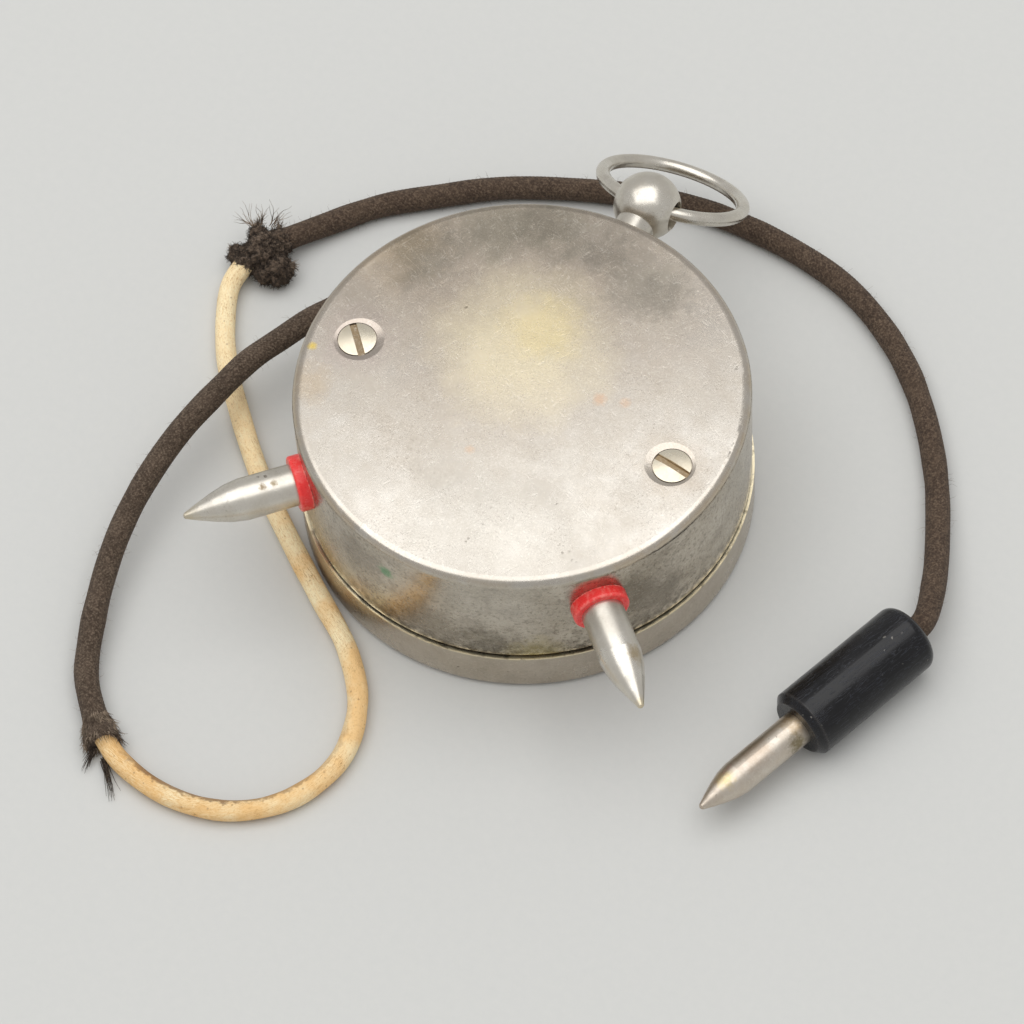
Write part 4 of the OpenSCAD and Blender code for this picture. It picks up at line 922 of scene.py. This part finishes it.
def dial_number(label, number, angle, radius, size):
    """One printed number, made a mesh, upright from the front with the pendant up."""
    text = bpy.data.curves.new(label, "FONT")
    text.body = str(number)
    text.size = size * MM
    text.align_x = "CENTER"
    text.align_y = "CENTER"
    text.extrude = ink_thickness / 2 * MM
    written = bpy.data.objects.new(label, text)
    bpy.context.scene.collection.objects.link(written)
    x, y = dial_point(angle, radius)
    mesh = bpy.data.meshes.new_from_object(written.evaluated_get(bpy.context.evaluated_depsgraph_get()))
    bpy.data.objects.remove(written)
    mesh.name = label
    mesh.materials.clear()
    turned_over = Matrix.Rotation(math.pi, 4, "Y")
    mesh.transform(Matrix.Translation((x * MM, y * MM, dial_front * MM)) @ turned_over)
    new_piece(label, mesh, ink)


for i in range(last_label + 1):
    angle = math.radians(scale_start + scale_span * i / last_label)
    dial_number(f"dial_number_{2 * i}", 2 * i, angle, 20.3, 2.3)
    dial_number(f"dial_number_{20 * i}_inner", 20 * i, angle, 14.2, 1.7)

# Pieces inside the drum
# Brass plate and bridges, blued screws and staff, iron cores and armature, a red bow
# magnet, bobbins wound with copper and resistance wire, and sleeved wires.
brass = plain("brass", (0.72, 0.55, 0.27), (0.6, 0.44, 0.2), 160.0, 0.3, 1.0, (0.3, 0.2, 0.08))
blued = plain("blued_steel", (0.08, 0.11, 0.22), (0.14, 0.13, 0.17), 420.0, 0.28, 1.0)
spring_blue = plain("spring_steel", (0.07, 0.12, 0.32), (0.1, 0.12, 0.22), 900.0, 0.26, 1.0)
iron = plain("soft_iron", (0.33, 0.33, 0.34), (0.25, 0.24, 0.23), 300.0, 0.48, 1.0,
    (0.25, 0.13, 0.07), 0.42)
black_paint = plain("pointer_black", (0.015, 0.015, 0.017), (0.03, 0.028, 0.026), 500.0, 0.4)
red_paint = plain("magnet_red", (0.42, 0.06, 0.04), (0.3, 0.05, 0.035), 170.0, 0.35, 0.0,
    (0.2, 0.17, 0.15), 0.42)
card = plain("card_ring", (0.5, 0.43, 0.31), (0.4, 0.34, 0.24), 240.0, 0.85)
fibre = plain("bobbin_fibre", (0.04, 0.028, 0.022), (0.025, 0.018, 0.015), 260.0, 0.5)
sleeving = plain("wire_sleeving", (0.3, 0.05, 0.045), (0.2, 0.035, 0.03), 900.0, 0.8)


def wound(name, crest, hollow, axis, pitch):
    """Close turns of enamelled wire round an axis."""
    material, tree, shader, place = new_material(name)
    step_along = add(tree, "ShaderNodeSeparateXYZ", {0: place}).outputs[axis]
    wave = maths(tree, "SINE", maths(tree, "MULTIPLY", step_along, 2 * math.pi / pitch))
    varnish = grain(tree, place, 600.0, 2.0)
    # Painted shade: the hollows between turns are darker than the crests.
    colour = blend(tree, remap(tree, wave, -1.0, 0.3), hollow, crest)
    colour = blend(tree, remap(tree, varnish, 0.55, 0.7, 0.0, 0.5), colour, hollow)
    connect(tree, shader, Base_Color=colour, Metallic=0.7,
        Roughness=remap(tree, varnish, 0.3, 0.7, 0.25, 0.42), Normal=bump(tree, wave, 0.00005))
    return material


dress("coil_windings", wound("copper_wire", (0.52, 0.2, 0.08), (0.16, 0.05, 0.02), 0, 0.00018))
dress("resistor_winding", wound("resistance_wire", (0.38, 0.27, 0.15), (0.1, 0.07, 0.04), 2, 0.00014))
for material, names in (
    (brass, ("dial_screws", "dial_posts", "movement_plate", "case_pillars", "front_bridge",
        "bridge_posts", "rear_bridge", "rear_pillars", "hairspring_collet", "hairspring_stud",
        "magnet_spacers", "prod_tags", "prod_nuts", "lead_bush_nut", "pendant_nut")),
    (blued, ("bridge_screws", "front_pivot_screw", "rear_screws", "rear_pivot_screw", "staff",
        "magnet_screws", "resistor_screw")),
    (spring_blue, ("hairspring",)),
    (iron, ("armature", "pole_cores")),
    (black_paint, ("pointer",)),
    (red_paint, ("magnet",)),
    (card, ("spacer_ring",)),
    (fibre, ("coil_bobbins", "resistor_spool")),
    (sleeving, ("hookup_wires",)),
):
    for name in names:
        dress(name, material)
